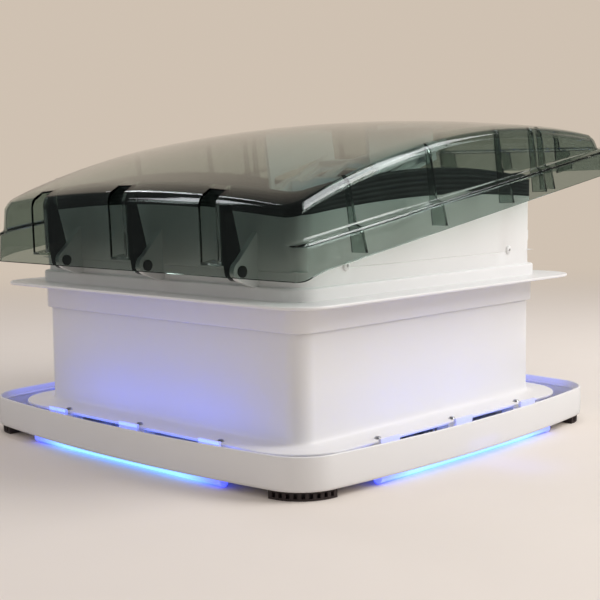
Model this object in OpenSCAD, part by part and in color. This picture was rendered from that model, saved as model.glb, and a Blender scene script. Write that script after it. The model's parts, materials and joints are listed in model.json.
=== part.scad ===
// Caravan roof vent: a smoked lid hinged on a roof frame, raised by a hand crank, with a fan in the
// throat and a lit trim ring on the room side. Millimetres, +Z up. The origin is the middle of the
// roof opening, in the plane of the roof skin under the flange. The lid is drawn a little open.

/* [Roof opening] */
// Side of the square opening cut in the roof
opening_w = 400; // [390:1:420]
// Gap between the neck and the cut edge, each side
opening_gap = 1; // [0.5:0.5:3]
// Height of the roof skin above the surface that the trim stands on
trim_drop = 165; // [155:1:200]

/* [Roof frame] */
// Width of the flange that lies on the roof
flange_w = 465; // [455:1:480]
// Corner radius of the flange
flange_r = 39; // [30:1:50]
// Thickness of the flange
flange_t = 3; // [2:0.5:5]
// Wall of the neck, collar and upstand
frame_wall = 3; // [2.5:0.5:4]
// Length of the neck below the flange
neck_h = 26; // [15:1:40]
// How far the collar stands out from the upstand, each side
collar_out = 6; // [5:0.5:7]
// Height of the collar above the roof skin
collar_h = 15; // [12:1:16]
// Step from the neck in to the upstand, each side
upstand_step = 3.5; // [2.5:0.5:4]
// Height of the upstand at the middle of each side
upstand_h = 95; // [90:1:97]
// Corner radius of the upstand
upstand_r = 20; // [16:1:24]
// Radius of the crowned top edge of the upstand
upstand_crown_r = 1900; // [1600:50:3000]
// Distance of that crown's highest point from the middle, towards the opening side
upstand_crown_y = 50; // [30:1:60]
// Distance between roof screws
roof_screw_pitch = 410; // [406:1:414]
// Diameter of the roof screw holes
roof_screw_d = 5; // [4:0.5:6]
// Width of the seal on the upstand
seal_w = 8; // [6:0.5:10]
// Gap between the seal and the closed lid
seal_gap = 2; // [1:0.5:4]

/* [Hinge] */
// Distance of the hinge axis outside the upstand
hinge_out = 20.5; // [19:0.5:22]
// Height of the hinge axis above the roof skin
hinge_z = 30.3; // [28:0.1:33]
// Distance between hinge ears
ear_pitch = 133; // [110:1:138]
// Distance of the middle ear from the middle of the opening
ear_shift = 12.5; // [5:0.5:16]
// Thickness of a hinge ear
ear_t = 6; // [4:0.5:7]
// Height at which an ear leaves the upstand
ear_top = 66; // [56:1:72]
// Diameter of the hinge pins
pin_d = 8; // [6:0.5:9]
// Thickness of the hinge plates on the lid
lug_t = 6; // [4:0.5:7]

/* [Lid] */
// Opening angle at rest, in degrees
lid_open = 9.2; // [6:0.2:12]
// Angle above level at which the closed lid rests, in degrees
lid_seat = 1.2; // [0.6:0.2:2]
// Thickness of the lid
lid_t = 3; // [2.5:0.5:4]
// Half width of the skirt at its foot
skirt_x = 235.5; // [233.5:0.5:242]
// How far the skirt stands out from the wall above the ledge
ledge_w = 9; // [6:1:10]
// Height of the ledge when closed
ledge_z = 60; // [56:1:66]
// Height of the foot of the skirt when closed
skirt_z = 32; // [30:1:36]
// Height of the foot of the hinge wall when closed
hinge_wall_z = 27.5; // [26:0.5:30]
// Distance of the hinge wall outside the hinge axis
hinge_wall_out = 16.2; // [15.6:0.2:22]
// How far the wall above the foot leans back at the hinge, for each unit of height
hinge_lean = 0.13; // [0.08:0.01:0.16]
// Distance of the far wall from the middle of the opening
far_wall_y = 305; // [290:1:330]
// How far the skirt stands out from the far wall
far_ledge = 24; // [9:1:26]
// Corner radius of the lid's foot
lid_r = 12; // [8:1:24]
// Height of the crown when closed
lid_top = 130.7; // [129:0.1:140]
// Fall of the crown from the middle to a side
crown_fall_x = 14.4; // [10:0.2:16]
// Fall of the crown from the middle to an end
crown_fall_y = 27.3; // [20:0.1:30]
// Width of a hinge pocket
pocket_w = 22; // [16:1:26]
// Depth of a hinge pocket behind the hinge wall
pocket_deep = 15; // [11:1:18]

/* [Throat and trim] */
// Wall of the throat duct
throat_wall = 2.5; // [2:0.5:3]
// Gap between the throat duct and the neck, each side
throat_gap = 1; // [0.5:0.25:1.5]
// How far the plate at the foot of the throat stands out
plate_out = 33; // [30:1:36]
// Height of the plate above the standing surface
plate_z = 32; // [28:1:33]
// Gap between the plate and the outside of the trim ring at mid side
ring_gap = 32.4; // [30:0.2:36]
// Corner radius of the trim ring
ring_r = 47; // [40:1:60]
// Radius of the trim ring's bowed sides
ring_bow_r = 1550; // [1200:50:3000]
// Height of the trim ring's wall
ring_h = 32; // [30:1:36]
// Gap under the trim ring
ring_lift = 8; // [7:0.5:10]
// Wall of the trim ring
ring_wall = 3; // [2:0.5:4]
// Distance from a light strip's end to the line of the ring's corners
strip_gap = 55; // [45:1:70]
// Width of a light diffuser
diffuser_w = 10; // [8:1:12]

/* [Fan and screen] */
// Diameter of the fan rotor
fan_d = 250; // [220:1:254]
// Number of fan blades
blade_n = 7; // [5:1:9]
// Half width of the fascia's opening
opening_half = 132; // [130:1:134]
// Number of gaps across the insect screen
screen_n = 16; // [10:1:17]

/* [Lid lift] */
// Distance from the hinge axis to the cross shaft, and length of the lift bail
lift_l = 190; // [184:1:192]
// Slope of the line from hinge to cross shaft when closed, in degrees
lift_slope = 7; // [6:0.5:8]
// Diameter of the cross shaft
shaft_d = 10; // [8:1:11]
// Number of teeth on the worm wheel
wheel_n = 24; // [22:2:26]
// Tooth module of worm and wheel
tooth_m = 1.5; // [1.4:0.05:1.5]
// Pitch radius of the worm
worm_r = 7; // [6.5:0.25:8]
// Diameter of the worm spindle
spindle_d = 8; // [6:0.5:8]
// Distance of the crank spindle from the inside of the upstand
worm_in = 30.5; // [29.5:0.5:32]
// Largest opening angle of the lid, in degrees
lid_travel = 40; // [30:1:45]
// Diameter of the crank knob
knob_d = 36; // [30:1:38]

/* [Controls] */
// Diameter of a push button
button_d = 12; // [9:1:14]
// Distance between push buttons
button_pitch = 26; // [22:1:30]

/* [Hidden] */
$fn = 64;

eps = 0.01;
far = 600;

// Clearances
pin_clear = 0.05;
side_play = 0.5;
seat_gap = 0.3;

// Levels and half widths
floor_z = -trim_drop;
ring_z = floor_z + ring_lift;
tray_t = 3;
tray_z = ring_z + tray_t;
plate_t = 3;
plate_top = floor_z + plate_z + plate_t;
neck_w = opening_w - 2 * opening_gap;
neck_r = 22;
throat_w = neck_w - 2 * frame_wall - 2 * throat_gap;
throat_r = neck_r - frame_wall - throat_gap + 2;
throat_in = throat_w / 2 - throat_wall;
upstand_w = neck_w - 2 * upstand_step;
collar_w = upstand_w + 2 * collar_out;
upstand_in = upstand_w / 2 - frame_wall;
plate_r = 60;
plate_w = throat_w + 2 * plate_out;
stations = [ear_shift - ear_pitch, ear_shift, ear_shift + ear_pitch];
hinge_y = upstand_w / 2 + hinge_out;
hinge_wall_y = hinge_y + hinge_wall_out;
hinge = [0, -hinge_y, hinge_z];

// Crown of the lid
crown_y = 8;
crown_half_x = 230;
crown_half_y = 240;
hinge_dip = 2.3;
hinge_dip_run = 40;
crown_rx = pow(crown_half_x, 2) / (2 * crown_fall_x);
crown_ry = pow(crown_half_y, 2) / (2 * crown_fall_y);

// Lift geometry
lift_rest = lift_slope + 2 * lid_open;
lift_axis = [0, -hinge_y + lift_l * cos(lift_slope), hinge_z + lift_l * sin(lift_slope)];
wheel_r = tooth_m * wheel_n / 2;
worm_x = upstand_in - worm_in;
worm_y = lift_axis[1] - wheel_r - worm_r;
wheel_w = 8;
arm_x = 70;
arm_t = 6;
bail_pin_r = 4;
rail_x = arm_x + arm_t / 2 + side_play + 2.5;
rail_t = 4;

// Fan levels
shroud_z = -52;
shroud_t = 3;
shroud_r = fan_d / 2 + 4;
shroud_wall = 2.5;
shroud_top = -40;
bracket_t = 4;
motor_r = 30;
motor_h = 38;
motor_shaft_r = 3;
hub_r = 38;
hub_wall = 4;
pad_r = 6;
pad_at = shroud_r + pad_r + 0.7;

// Trim ring: its bowed sides and round corners touch smoothly, with corner centres at ring_c
ring_w = plate_w + 2 * ring_gap;
bow_at = ring_bow_r - ring_w / 2;
bow_reach = ring_bow_r - ring_r;
ring_c = (sqrt(2 * pow(bow_reach, 2) - pow(bow_at, 2)) - bow_at) / 2;
strip_l = 2 * (ring_c - strip_gap);

// Room side
panel_t = 4;
panel_z = ring_z - panel_t;
grille_r = ring_r - 4;
grille_w = 14;
panel_r = grille_r - grille_w - 1;
panel_w = 2 * (ring_c + panel_r);
cup_r = knob_d / 2 + 4;
cup_wall = 2;
cup_top = floor_z + 25;
button_x = panel_w / 2 - 60;
screw_r = 1.75;

// A rounded rectangle centred on the axis
module rounded(w, d, r) {
    square([w - 2 * r, d], center = true);
    square([w, d - 2 * r], center = true);
    for (sx = [-1, 1], sy = [-1, 1])
        translate([sx * (w / 2 - r), sy * (d / 2 - r)]) circle(r);
}

// The trim ring's outline, moved inwards by inset: half of each bowed side, a round corner, and so on
bow_steps = 8;
bow_turn = asin(ring_c / bow_reach);
function bow_corner(r, k) = [for (i = [0:bow_steps]) let(a = bow_turn + (90 - 2 * bow_turn) * i / bow_steps)
    turned([ring_c + r * cos(a), ring_c + r * sin(a)], 90 * k)];
function bow_side(rb, k) = [for (i = [1:2 * bow_steps - 1]) let(a = bow_turn * (i / bow_steps - 1))
    turned([rb * cos(a) - bow_at, rb * sin(a)], 90 * k)];
module bowed(inset) {
    polygon([for (k = [0:3]) each concat(bow_side(ring_bow_r - inset, k), bow_corner(ring_r - inset, k))]);
}

// A part of the trim ring between two insets and two levels
module bowed_tube(inset0, inset1, z0, z1) {
    translate([0, 0, z0]) linear_extrude(z1 - z0) difference() {
        bowed(inset0);
        bowed(inset1);
    }
}

// A square frame of width w and wall t between two levels
module square_tube(w, t, r, z0, z1) {
    translate([0, 0, z0]) linear_extrude(z1 - z0) difference() {
        rounded(w, w, r);
        rounded(w - 2 * t, w - 2 * t, max(r - t, 2));
    }
}

// A profile in the YZ plane, carried along X from x0 to x1
module along_x(x0, x1) {
    translate([x0, 0, 0]) rotate([90, 0, 90]) linear_extrude(x1 - x0) children();
}

// A round bar along X
module bar_x(r, x0, x1) {
    translate([x0, 0, 0]) rotate([0, 90, 0]) cylinder(r = r, h = x1 - x0);
}

// The four sides of the square, as turned copies of the side that faces +X
module each_side() {
    for (a = [0, 90, 180, 270]) rotate([0, 0, a]) children();
}

// The space under the crowned top edge of the upstand, lowered by drop
module under_crown(drop = 0) {
    translate([0, upstand_crown_y,
        upstand_h - drop - sqrt(pow(upstand_crown_r, 2) - pow(upstand_w / 2, 2))])
        sphere(r = upstand_crown_r, $fn = 360);
}

// The lid is drawn level, and turned from there to its place at rest
module at_lid(angle = lid_open) {
    translate(hinge) rotate([angle, 0, 0]) translate(-hinge) children();
}

// Roof frame

// One hinge ear: a gusset from the upstand to a round nose, with its foot on the collar
module ear(x) {
    nose = pin_d / 2 + 6;
    along_x(x - ear_t, x) {
        translate([-hinge_y, hinge_z]) circle(nose);
        polygon([[-upstand_w / 2 + 1, ear_top], [-hinge_y - 0.9 * nose, hinge_z + 0.4 * nose],
            [-hinge_y - 0.4 * nose, hinge_z - 0.9 * nose], [-collar_w / 2 + 2, collar_h - 2],
            [-upstand_w / 2 + 1, collar_h - 2]]);
    }
}

side_screw_y = [-131, 142];
side_screw_z = 32;
side_screw_r = 2;

module roof_frame() {
    groove = 0.6;
    color("white") difference() {
        union() {
            linear_extrude(flange_t) difference() {
                rounded(flange_w, flange_w, flange_r);
                rounded(2 * upstand_in, 2 * upstand_in, upstand_r - frame_wall);
            }
            square_tube(neck_w, frame_wall, neck_r, -neck_h, flange_t);
            square_tube(collar_w, collar_w / 2 - upstand_in, neck_r + 2, 0, collar_h);
            intersection() {
                square_tube(upstand_w, frame_wall, upstand_r, 0, upstand_h + 30);
                under_crown();
            }
            difference() {
                intersection() {
                    square_tube(upstand_w, seal_w, upstand_r, upstand_h - 40, upstand_h + 30);
                    under_crown();
                }
                under_crown(frame_wall);
            }
            for (x = stations) ear(x);
        }
        translate(hinge) bar_x(pin_d / 2, -far, far);
        for (sx = [-1, 1], sy = [-1, 1])
            translate([sx, sy, 0] * roof_screw_pitch / 2) translate([0, 0, -1])
                cylinder(d = roof_screw_d, h = flange_t + 2);
        for (y = side_screw_y) translate([0, y, side_screw_z]) bar_x(side_screw_r, -far, far);
        for (sx = [-1, 1])
            translate([sx * upstand_w / 2 - groove, side_screw_y[0], side_screw_z - groove])
                cube([2 * groove, side_screw_y[1] - side_screw_y[0], 2 * groove]);
    }
}

// Seal: its foot sits on the crowned edge and its top runs below the closed lid, along the sides
// and across the two ends
module frame_seal() {
    half = upstand_w / 2;
    corner_x = half - upstand_r;
    side_top = lid_top - lid_t - seal_gap - pow(half, 2) / (2 * crown_rx);
    color("black") difference() {
        intersection() {
            square_tube(upstand_w, seal_w, upstand_r, upstand_h - 40, lid_top);
            at_lid(lid_seat) union() {
                difference() {
                    translate([0, crown_y, side_top - crown_ry]) wide_bar_x(crown_ry);
                    cube([2 * corner_x, far, far], center = true);
                }
                for (sy = [-1, 1]) intersection() {
                    translate([-corner_x, sy > 0 ? 0 : -far, 0]) cube([2 * corner_x, far, far]);
                    translate([0, 0, side_top - pow(sy * half - crown_y, 2) / (2 * crown_ry)
                        + pow(corner_x, 2) / (2 * crown_rx) - crown_rx])
                        rotate([0, 0, 90]) wide_bar_x(crown_rx);
                }
            }
        }
        under_crown();
    }
}

// A very wide round bar along X, used as a cutter
module wide_bar_x(r) {
    translate([-far / 2, 0, 0]) rotate([0, 90, 0]) cylinder(r = r, h = far, $fn = 720);
}

pin_head_t = 1.5;
pin_end = ear_t + side_play + lug_t + 2.2;

module hinge_pins() {
    color("dimgray") for (x = stations) translate(hinge) {
        bar_x(pin_d / 2, x - pin_end, x + pin_head_t);
        bar_x(pin_d / 2 + 1.5, x, x + pin_head_t);
    }
}

pin_clip_r = pin_d / 2 + 2.5;

module pin_clips() {
    clip_t = 1.2;
    x1 = -ear_t - side_play - lug_t - seat_gap;
    color("gray") for (x = stations) translate(hinge) difference() {
        bar_x(pin_clip_r, x + x1 - clip_t, x + x1);
        bar_x(pin_d / 2, x + x1 - clip_t - 1, x + x1 + 1);
    }
}

module side_screws() {
    color("white") for (s = [0, 1], y = side_screw_y) mirror([s, 0, 0])
        translate([0, y, side_screw_z]) {
            bar_x(side_screw_r, upstand_in, upstand_w / 2 + 1);
            bar_x(4.2, upstand_w / 2, upstand_w / 2 + 2);
        }
}

// Two small catches on the far wall, each a hooked bracket
module lid_catches() {
    catch_x = 172;
    catch_w = 12;
    color("white") for (s = [0, 1]) mirror([s, 0, 0])
        along_x(catch_x - catch_w / 2, catch_x + catch_w / 2)
            translate([upstand_w / 2, collar_h + 12]) polygon([[0, 0], [11, 4], [15, 14], [15, 24],
                [11, 24], [11, 16], [7, 12], [0, 22]]);
}

// Throat duct and trim

clip_at = [-118, 0, 118];
clip_screw_y = plate_w / 2 - 6;

module throat_duct() {
    ledge = 6;
    color("white") difference() {
        union() {
            square_tube(throat_w, throat_wall, throat_r, plate_top - plate_t, -seat_gap);
            square_tube(throat_w, throat_wall + ledge, throat_r, shroud_z - 3, shroud_z);
            translate([0, 0, plate_top - plate_t]) linear_extrude(plate_t) difference() {
                rounded(plate_w, plate_w, plate_r);
                rounded(2 * throat_in, 2 * throat_in, throat_r - throat_wall);
            }
        }
        each_side() for (y = clip_at)
            translate([clip_screw_y, y, plate_top - plate_t - 1])
                cylinder(r = screw_r + 0.25, h = plate_t + 2);
    }
}

module trim_ring() {
    bead = 2;
    color("white") difference() {
        union() {
            bowed_tube(0, ring_wall, ring_z, ring_z + ring_h);
            bowed_tube(ring_wall / 2, ring_wall + bead, ring_z + ring_h - 8, ring_z + ring_h - 6);
            translate([0, 0, ring_z]) linear_extrude(tray_t) difference() {
                bowed(ring_wall / 2);
                rounded(throat_w + 6, throat_w + 6, throat_r + 3);
            }
        }
        each_side() translate([diffuser_x, 0, ring_z + tray_t / 2])
            cube([diffuser_w, strip_l, 2 * tray_t], center = true);
    }
}

diffuser_x = ring_w / 2 - 17;
clip_l = 28;

// A clip stands on the tray, carries the plate's edge and hooks up past it
module ring_clips() {
    inner = plate_w / 2 - 14;
    outer = diffuser_x - diffuser_w / 2 - 1;
    under = plate_top - plate_t;
    color("white") each_side() for (y = clip_at) difference() {
        translate([0, y + clip_l / 2, 0]) rotate([90, 0, 0]) linear_extrude(clip_l)
            polygon([[inner, tray_z], [outer, tray_z], [outer, under + 7], [outer - 3, under + 7],
                [outer - 3, under - 6], [plate_w / 2, under - 6], [plate_w / 2, under], [inner, under]]);
        translate([clip_screw_y, y, tray_z - 1]) cylinder(r = screw_r, h = far);
    }
}

module trim_screws() {
    color("lightgray") each_side() for (y = clip_at) translate([clip_screw_y, y, 0]) {
        translate([0, 0, tray_z + 2]) cylinder(r = screw_r, h = plate_top - tray_z - 1);
        translate([0, 0, plate_top]) difference() {
            cylinder(r1 = 3.6, r2 = 2.6, h = 2);
            translate([-0.5, -3, 1]) cube([1, 6, 2]);
            translate([-3, -0.5, 1]) cube([6, 1, 2]);
        }
    }
}

// Each diffuser hangs through a slot in the tray, with a round nose near the standing surface
module led_diffusers() {
    nose = diffuser_w / 2;
    color("deepskyblue") each_side() translate([diffuser_x, 0, 0])
        translate([0, strip_l / 2, 0]) rotate([90, 0, 0]) linear_extrude(strip_l) {
            translate([-nose, floor_z + nose + 0.5]) square([2 * nose, tray_z - floor_z - nose + 1.5]);
            translate([0, floor_z + nose + 0.5]) circle(nose);
        }
}

module led_strips() {
    board_t = 1.6;
    chips = 12;
    z0 = tray_z + 2;
    color("royalblue") each_side() translate([diffuser_x, 0, z0]) {
        translate([-diffuser_w / 2, -strip_l / 2, 0]) cube([diffuser_w, strip_l, board_t]);
        for (i = [0:chips - 1])
            translate([-2.5, (i + 0.5) * strip_l / chips - strip_l / 2 - 2.5, board_t - eps])
                cube([5, 5, 1.5]);
    }
}

// Corner pieces under the ring, slotted like a comb on their outer face: the vent stands on these
module corner_grilles() {
    slots = 9;
    foot_h = ring_lift;
    color("dimgray") each_side()
        translate([ring_c, ring_c, floor_z]) difference() {
            rotate_extrude(angle = 90) translate([grille_r - grille_w, 0]) square([grille_w, foot_h]);
            for (i = [0:slots - 1]) rotate([0, 0, 8 + i * (74 / (slots - 1))])
                translate([grille_r - 5, -1.7, 2]) cube([10, 3.4, foot_h - 3.5]);
        }
}

// Room side

button_y = [-button_pitch, 0, button_pitch];

module fascia_panel() {
    frame_open = 2 * opening_half;
    post_r = 3;
    color("whitesmoke") difference() {
        union() {
            translate([0, 0, panel_z]) linear_extrude(panel_t) difference() {
                rounded(panel_w, panel_w, panel_r);
                rounded(frame_open, frame_open, 24);
            }
            translate([-worm_x, worm_y, panel_z]) cylinder(r = cup_r + cup_wall, h = cup_top - panel_z);
            for (sy = [-1, 1]) translate([button_x, sy * (button_pitch + 14), panel_z + panel_t - eps])
                cylinder(r = post_r, h = board_z - panel_z - panel_t + eps);
        }
        translate([-worm_x, worm_y, panel_z - 1]) cylinder(r = cup_r, h = cup_top - cup_wall - panel_z + 1);
        translate([-worm_x, worm_y, 0]) mirror([0, 0, 1]) cylinder(d = spindle_d + 1, h = far);
        for (y = button_y) translate([button_x, y, panel_z - 1])
            cylinder(d = button_d + 2 * seat_gap, h = panel_t + 2);
        each_side() translate([diffuser_x, 0, panel_z])
            cube([diffuser_w + 1, strip_l + 1, 4 * panel_t], center = true);
    }
}

board_z = panel_z + panel_t + 8;
switch_h = 2.4;

module control_board() {
    color("darkgreen") {
        translate([button_x - 14, -button_pitch - 20, board_z])
            cube([28, 2 * button_pitch + 40, 1.6]);
        for (y = button_y) translate([button_x - 3, y - 3, board_z - switch_h]) cube([6, 6, switch_h + eps]);
    }
}

// A push button: a cap that shows under the panel and a rim that keeps it in
module push_button(y) {
    travel = 1.2;
    face_z = panel_z - 2;
    rim_z = panel_z + panel_t + seat_gap;
    top_z = board_z - switch_h - travel - 0.2;
    color("silver") translate([button_x, y, 0]) {
        translate([0, 0, face_z]) cylinder(d = button_d, h = top_z - face_z);
        translate([0, 0, rim_z]) cylinder(d = button_d + 4, h = 1.5);
    }
}

module fan_button() push_button(button_y[0]);
module light_button() push_button(button_y[1]);
module dim_button() push_button(button_y[2]);

screen_w = 2 * opening_half - 2 * seat_gap;
screen_border = 9;

module screen_frame() {
    lip = 5;
    lip_t = 2;
    color("whitesmoke") {
        square_tube(screen_w, screen_border, 24, panel_z, panel_z + panel_t + 2);
        square_tube(screen_w + 2 * lip, screen_border + lip, 24 + lip, panel_z - lip_t, panel_z);
        each_side() for (y = [-60, 60])
            translate([screen_w / 2 - 1, y - 7, panel_z + panel_t + seat_gap]) cube([3.5, 14, 1.6]);
    }
}

module insect_screen() {
    wire = 1;
    half = screen_w / 2 - screen_border;
    pitch = 2 * half / screen_n;
    color("gray") translate([0, 0, panel_z + 1]) linear_extrude(wire) intersection() {
        rounded(2 * half, 2 * half, 24 - screen_border);
        for (i = [1:screen_n - 1], a = [0, 90])
            rotate(a) translate([i * pitch - half, 0]) square([wire, 2 * half], center = true);
    }
}

// Fan

module fan_shroud() {
    w = 2 * throat_in - 2 * seat_gap;
    ring_depth = 38;
    color("white") {
        translate([0, 0, shroud_z]) linear_extrude(shroud_t) difference() {
            rounded(w, w, throat_r - throat_wall - seat_gap);
            circle(shroud_r + 1);
            translate([-worm_x, worm_y]) circle(d = spindle_d + 3);
        }
        rotate_extrude() translate([shroud_r, shroud_top - ring_depth]) square([shroud_wall, ring_depth - 1]);
        for (a = [0:90:270]) rotate([0, 0, a + 45]) translate([pad_at, 0, shroud_z + 1])
            linear_extrude(shroud_top - shroud_z - 1) difference() {
                circle(pad_r);
                circle(screw_r);
            }
    }
}

// Two bars of width w that cross over the fan, in plan
module fan_cross(w, reach) {
    for (a = [45, 135]) rotate(a) square([2 * reach, w], center = true);
}

module motor_bracket() {
    rib_h = 5;
    color("white") translate([0, 0, shroud_top]) {
        linear_extrude(bracket_t) difference() {
            union() {
                circle(motor_r + 6);
                fan_cross(2 * pad_r, pad_at + pad_r);
            }
            for (a = [0:90:270]) rotate(a + 45) translate([pad_at, 0]) circle(screw_r + 0.25);
        }
        translate([0, 0, bracket_t - 1]) linear_extrude(rib_h + 1) difference() {
            fan_cross(3, shroud_r - 2);
            circle(motor_r - 8);
        }
    }
}

module bracket_screws() {
    color("lightgray") for (a = [0:90:270]) rotate([0, 0, a + 45])
        translate([pad_at, 0, shroud_top]) {
            translate([0, 0, -9]) cylinder(r = screw_r, h = 9 + bracket_t + 1);
            translate([0, 0, bracket_t]) cylinder(r = 3.5, h = 2);
        }
}

module fan_motor() {
    color("gray") difference() {
        translate([0, 0, shroud_top - motor_h]) {
            cylinder(r = motor_r, h = motor_h);
            translate([0, 0, -4]) cylinder(r = 9, h = 5);
        }
        translate([0, 0, shroud_top - motor_h - 5])
            cylinder(r = motor_shaft_r + pin_clear, h = motor_h + 1);
    }
}

hub_floor = shroud_top - motor_h - 12;

module motor_shaft() {
    color("silver") translate([0, 0, hub_floor - 8])
        cylinder(r = motor_shaft_r, h = shroud_top - 6 - hub_floor + 8);
}

module rotor_nut() {
    color("silver") translate([0, 0, hub_floor - 5]) difference() {
        cylinder(r = 7, h = 5, $fn = 6);
        translate([0, 0, -1]) cylinder(r = motor_shaft_r, h = 7);
    }
}

// A blade is lofted from the hub to its tip: chord, camber and pitch change along it
blade_steps = 5;
chord_steps = 6;
blade_t = 2.4;

// One point of a blade at share s of the span and c of the chord, on the face f of +1 or -1
function blade_point(s, c, f) = let(
    r = hub_r - 1 + s * (fan_d / 2 - hub_r + 1),
    chord = 46 + 34 * s,
    pitch = 38 - 18 * s,
    u = (c - 0.5) * chord,
    lift = 5 * (1 - 4 * pow(c - 0.5, 2)) + f * blade_t / 2 * sin(180 * (0.08 + 0.84 * c)),
    turn = (u * cos(pitch) - lift * sin(pitch)) * 180 / (PI * r) + 10 * s,
    z = u * sin(pitch) + lift * cos(pitch))
    [r * cos(turn), r * sin(turn), z];

module blade() {
    row = 2 * (chord_steps + 1);
    points = [for (i = [0:blade_steps])
        each concat([for (j = [0:chord_steps]) blade_point(i / blade_steps, j / chord_steps, 1)],
            [for (j = [chord_steps:-1:0]) blade_point(i / blade_steps, j / chord_steps, -1)])];
    sides = [for (i = [0:blade_steps - 1], j = [0:row - 1]) let(
        a = i * row + j, b = i * row + (j + 1) % row)
        each [[a, b, a + row], [b, b + row, a + row]]];
    caps = [for (j = [0:chord_steps - 1]) let(k = row - 1 - j, e = blade_steps * row)
        each [[j, k, j + 1], [j + 1, k, k - 1], [e + j, e + j + 1, e + k], [e + j + 1, e + k - 1, e + k]]];
    polyhedron(points, concat(sides, caps));
}

module fan_rotor() {
    hub_h = 40;
    color("whitesmoke") {
        translate([0, 0, hub_floor]) difference() {
            cylinder(r = hub_r, h = hub_h);
            translate([0, 0, 4]) cylinder(r = hub_r - hub_wall, h = hub_h);
            translate([0, 0, -1]) cylinder(r = motor_shaft_r, h = 10);
        }
        for (i = [0:blade_n - 1]) rotate([0, 0, i * 360 / blade_n])
            translate([0, 0, hub_floor + hub_h / 2]) blade();
    }
}

// Lid lift

bearing_w = 16;

// A bearing block on the inside of a side wall
module bearing() {
    boss_r = shaft_d / 2 + 5;
    color("white") difference() {
        union() {
            translate([upstand_in - 3, lift_axis[1] - boss_r - 1, lift_axis[2] - boss_r - 16])
                cube([3, 3.4 * boss_r, 4 * boss_r]);
            translate([0, lift_axis[1], lift_axis[2]]) bar_x(boss_r, upstand_in - bearing_w, upstand_in);
        }
        translate([0, lift_axis[1], lift_axis[2]])
            bar_x(shaft_d / 2 + pin_clear, upstand_in - bearing_w - 1, upstand_in - 4);
    }
}

module right_bearing() bearing();
module left_bearing() mirror([1, 0, 0]) bearing();

worm_half = 14;
bracket_arm_t = 5;

// Holds the worm spindle above and below the worm
module spindle_bracket() {
    half_y = 10.5;
    color("white") difference() {
        union() {
            for (s = [-1, 1])
                translate([-worm_x, worm_y, lift_axis[2] + s * (worm_half + side_play + bracket_arm_t / 2)])
                    linear_extrude(bracket_arm_t, center = true) {
                        circle(half_y);
                        translate([-upstand_in + worm_x, -half_y]) square([upstand_in - worm_x, 2 * half_y]);
                    }
            translate([-upstand_in, worm_y - half_y, lift_axis[2] - worm_half - 6])
                cube([4, 2 * half_y, 2 * worm_half + 12]);
        }
        translate([-worm_x, worm_y, -far]) cylinder(d = spindle_d + 2 * pin_clear, h = 2 * far);
    }
}

module lift_shaft() {
    end = upstand_in - 5;
    color("silver") translate(lift_axis) bar_x(shaft_d / 2, -end, end);
}

// Involute gear outline, with a tooth space centred on the -X direction
function involute(base, a) = [base * (cos(a) + a * PI / 180 * sin(a)), base * (sin(a) - a * PI / 180 * cos(a))];
function turned(p, a) = [p[0] * cos(a) - p[1] * sin(a), p[0] * sin(a) + p[1] * cos(a)];
pressure = 20;
backlash = 0.25;
wheel_out = wheel_r + tooth_m;
wheel_root = wheel_r - 1.25 * tooth_m;

module gear_outline() {
    base = wheel_r * cos(pressure);
    steps = 4;
    roll_max = sqrt(pow(wheel_out / base, 2) - 1) * 180 / PI;
    inv_pitch = (tan(pressure) * 180 / PI) - pressure;
    half = 90 / wheel_n - backlash / wheel_r * 180 / PI + inv_pitch;
    flank = [for (i = [0:steps]) turned(involute(base, roll_max * i / steps), -half)];
    root_a = 180 / wheel_n * 0.55;
    tooth = concat([wheel_root * [cos(-root_a), sin(-root_a)]], flank,
        [for (i = [steps:-1:0]) [flank[i][0], -flank[i][1]]], [wheel_root * [cos(root_a), sin(root_a)]]);
    rotate(180 + 180 / wheel_n) polygon([for (k = [0:wheel_n - 1], p = tooth) turned(p, k * 360 / wheel_n)]);
}

module worm_wheel() {
    color("khaki") translate([0, lift_axis[1], lift_axis[2]]) difference() {
        union() {
            along_x(-worm_x - wheel_w / 2, -worm_x + wheel_w / 2) gear_outline();
            bar_x(shaft_d / 2 + 4, -worm_x - wheel_w / 2, -worm_x + wheel_w / 2 + 8);
        }
        bar_x(shaft_d / 2, -far, far);
    }
}

// The worm's thread, swept as one helix round the spindle with its crest facing the wheel
worm_lead = PI * tooth_m;
thread_turns = 5;
thread_sides = 16;

function thread_point(i, r, half_w, s) = let(a = 90 + (i / thread_sides - thread_turns / 2) * 360)
    [r * cos(a), r * sin(a), (i / thread_sides - thread_turns / 2) * worm_lead + s * half_w];

module worm_thread() {
    crest = worm_lead / 4 - tooth_m * tan(pressure) - backlash;
    foot = worm_lead / 4 + 1.25 * tooth_m * tan(pressure) - backlash;
    r_out = worm_r + tooth_m;
    r_in = worm_r - 1.6 * tooth_m;
    n = thread_turns * thread_sides;
    points = [for (i = [0:n]) each [thread_point(i, r_in, foot, -1), thread_point(i, r_out, crest, -1),
        thread_point(i, r_out, crest, 1), thread_point(i, r_in, foot, 1)]];
    sides = [for (i = [0:n - 1], j = [0:3]) let(a = 4 * i + j, b = 4 * i + (j + 1) % 4)
        each [[a, b, a + 4], [b, b + 4, a + 4]]];
    ends = [[0, 2, 1], [0, 3, 2], [4 * n, 4 * n + 1, 4 * n + 2], [4 * n, 4 * n + 2, 4 * n + 3]];
    polyhedron(points, concat(sides, ends));
}

knob_z = floor_z + 3;
knob_h = 18;

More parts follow.
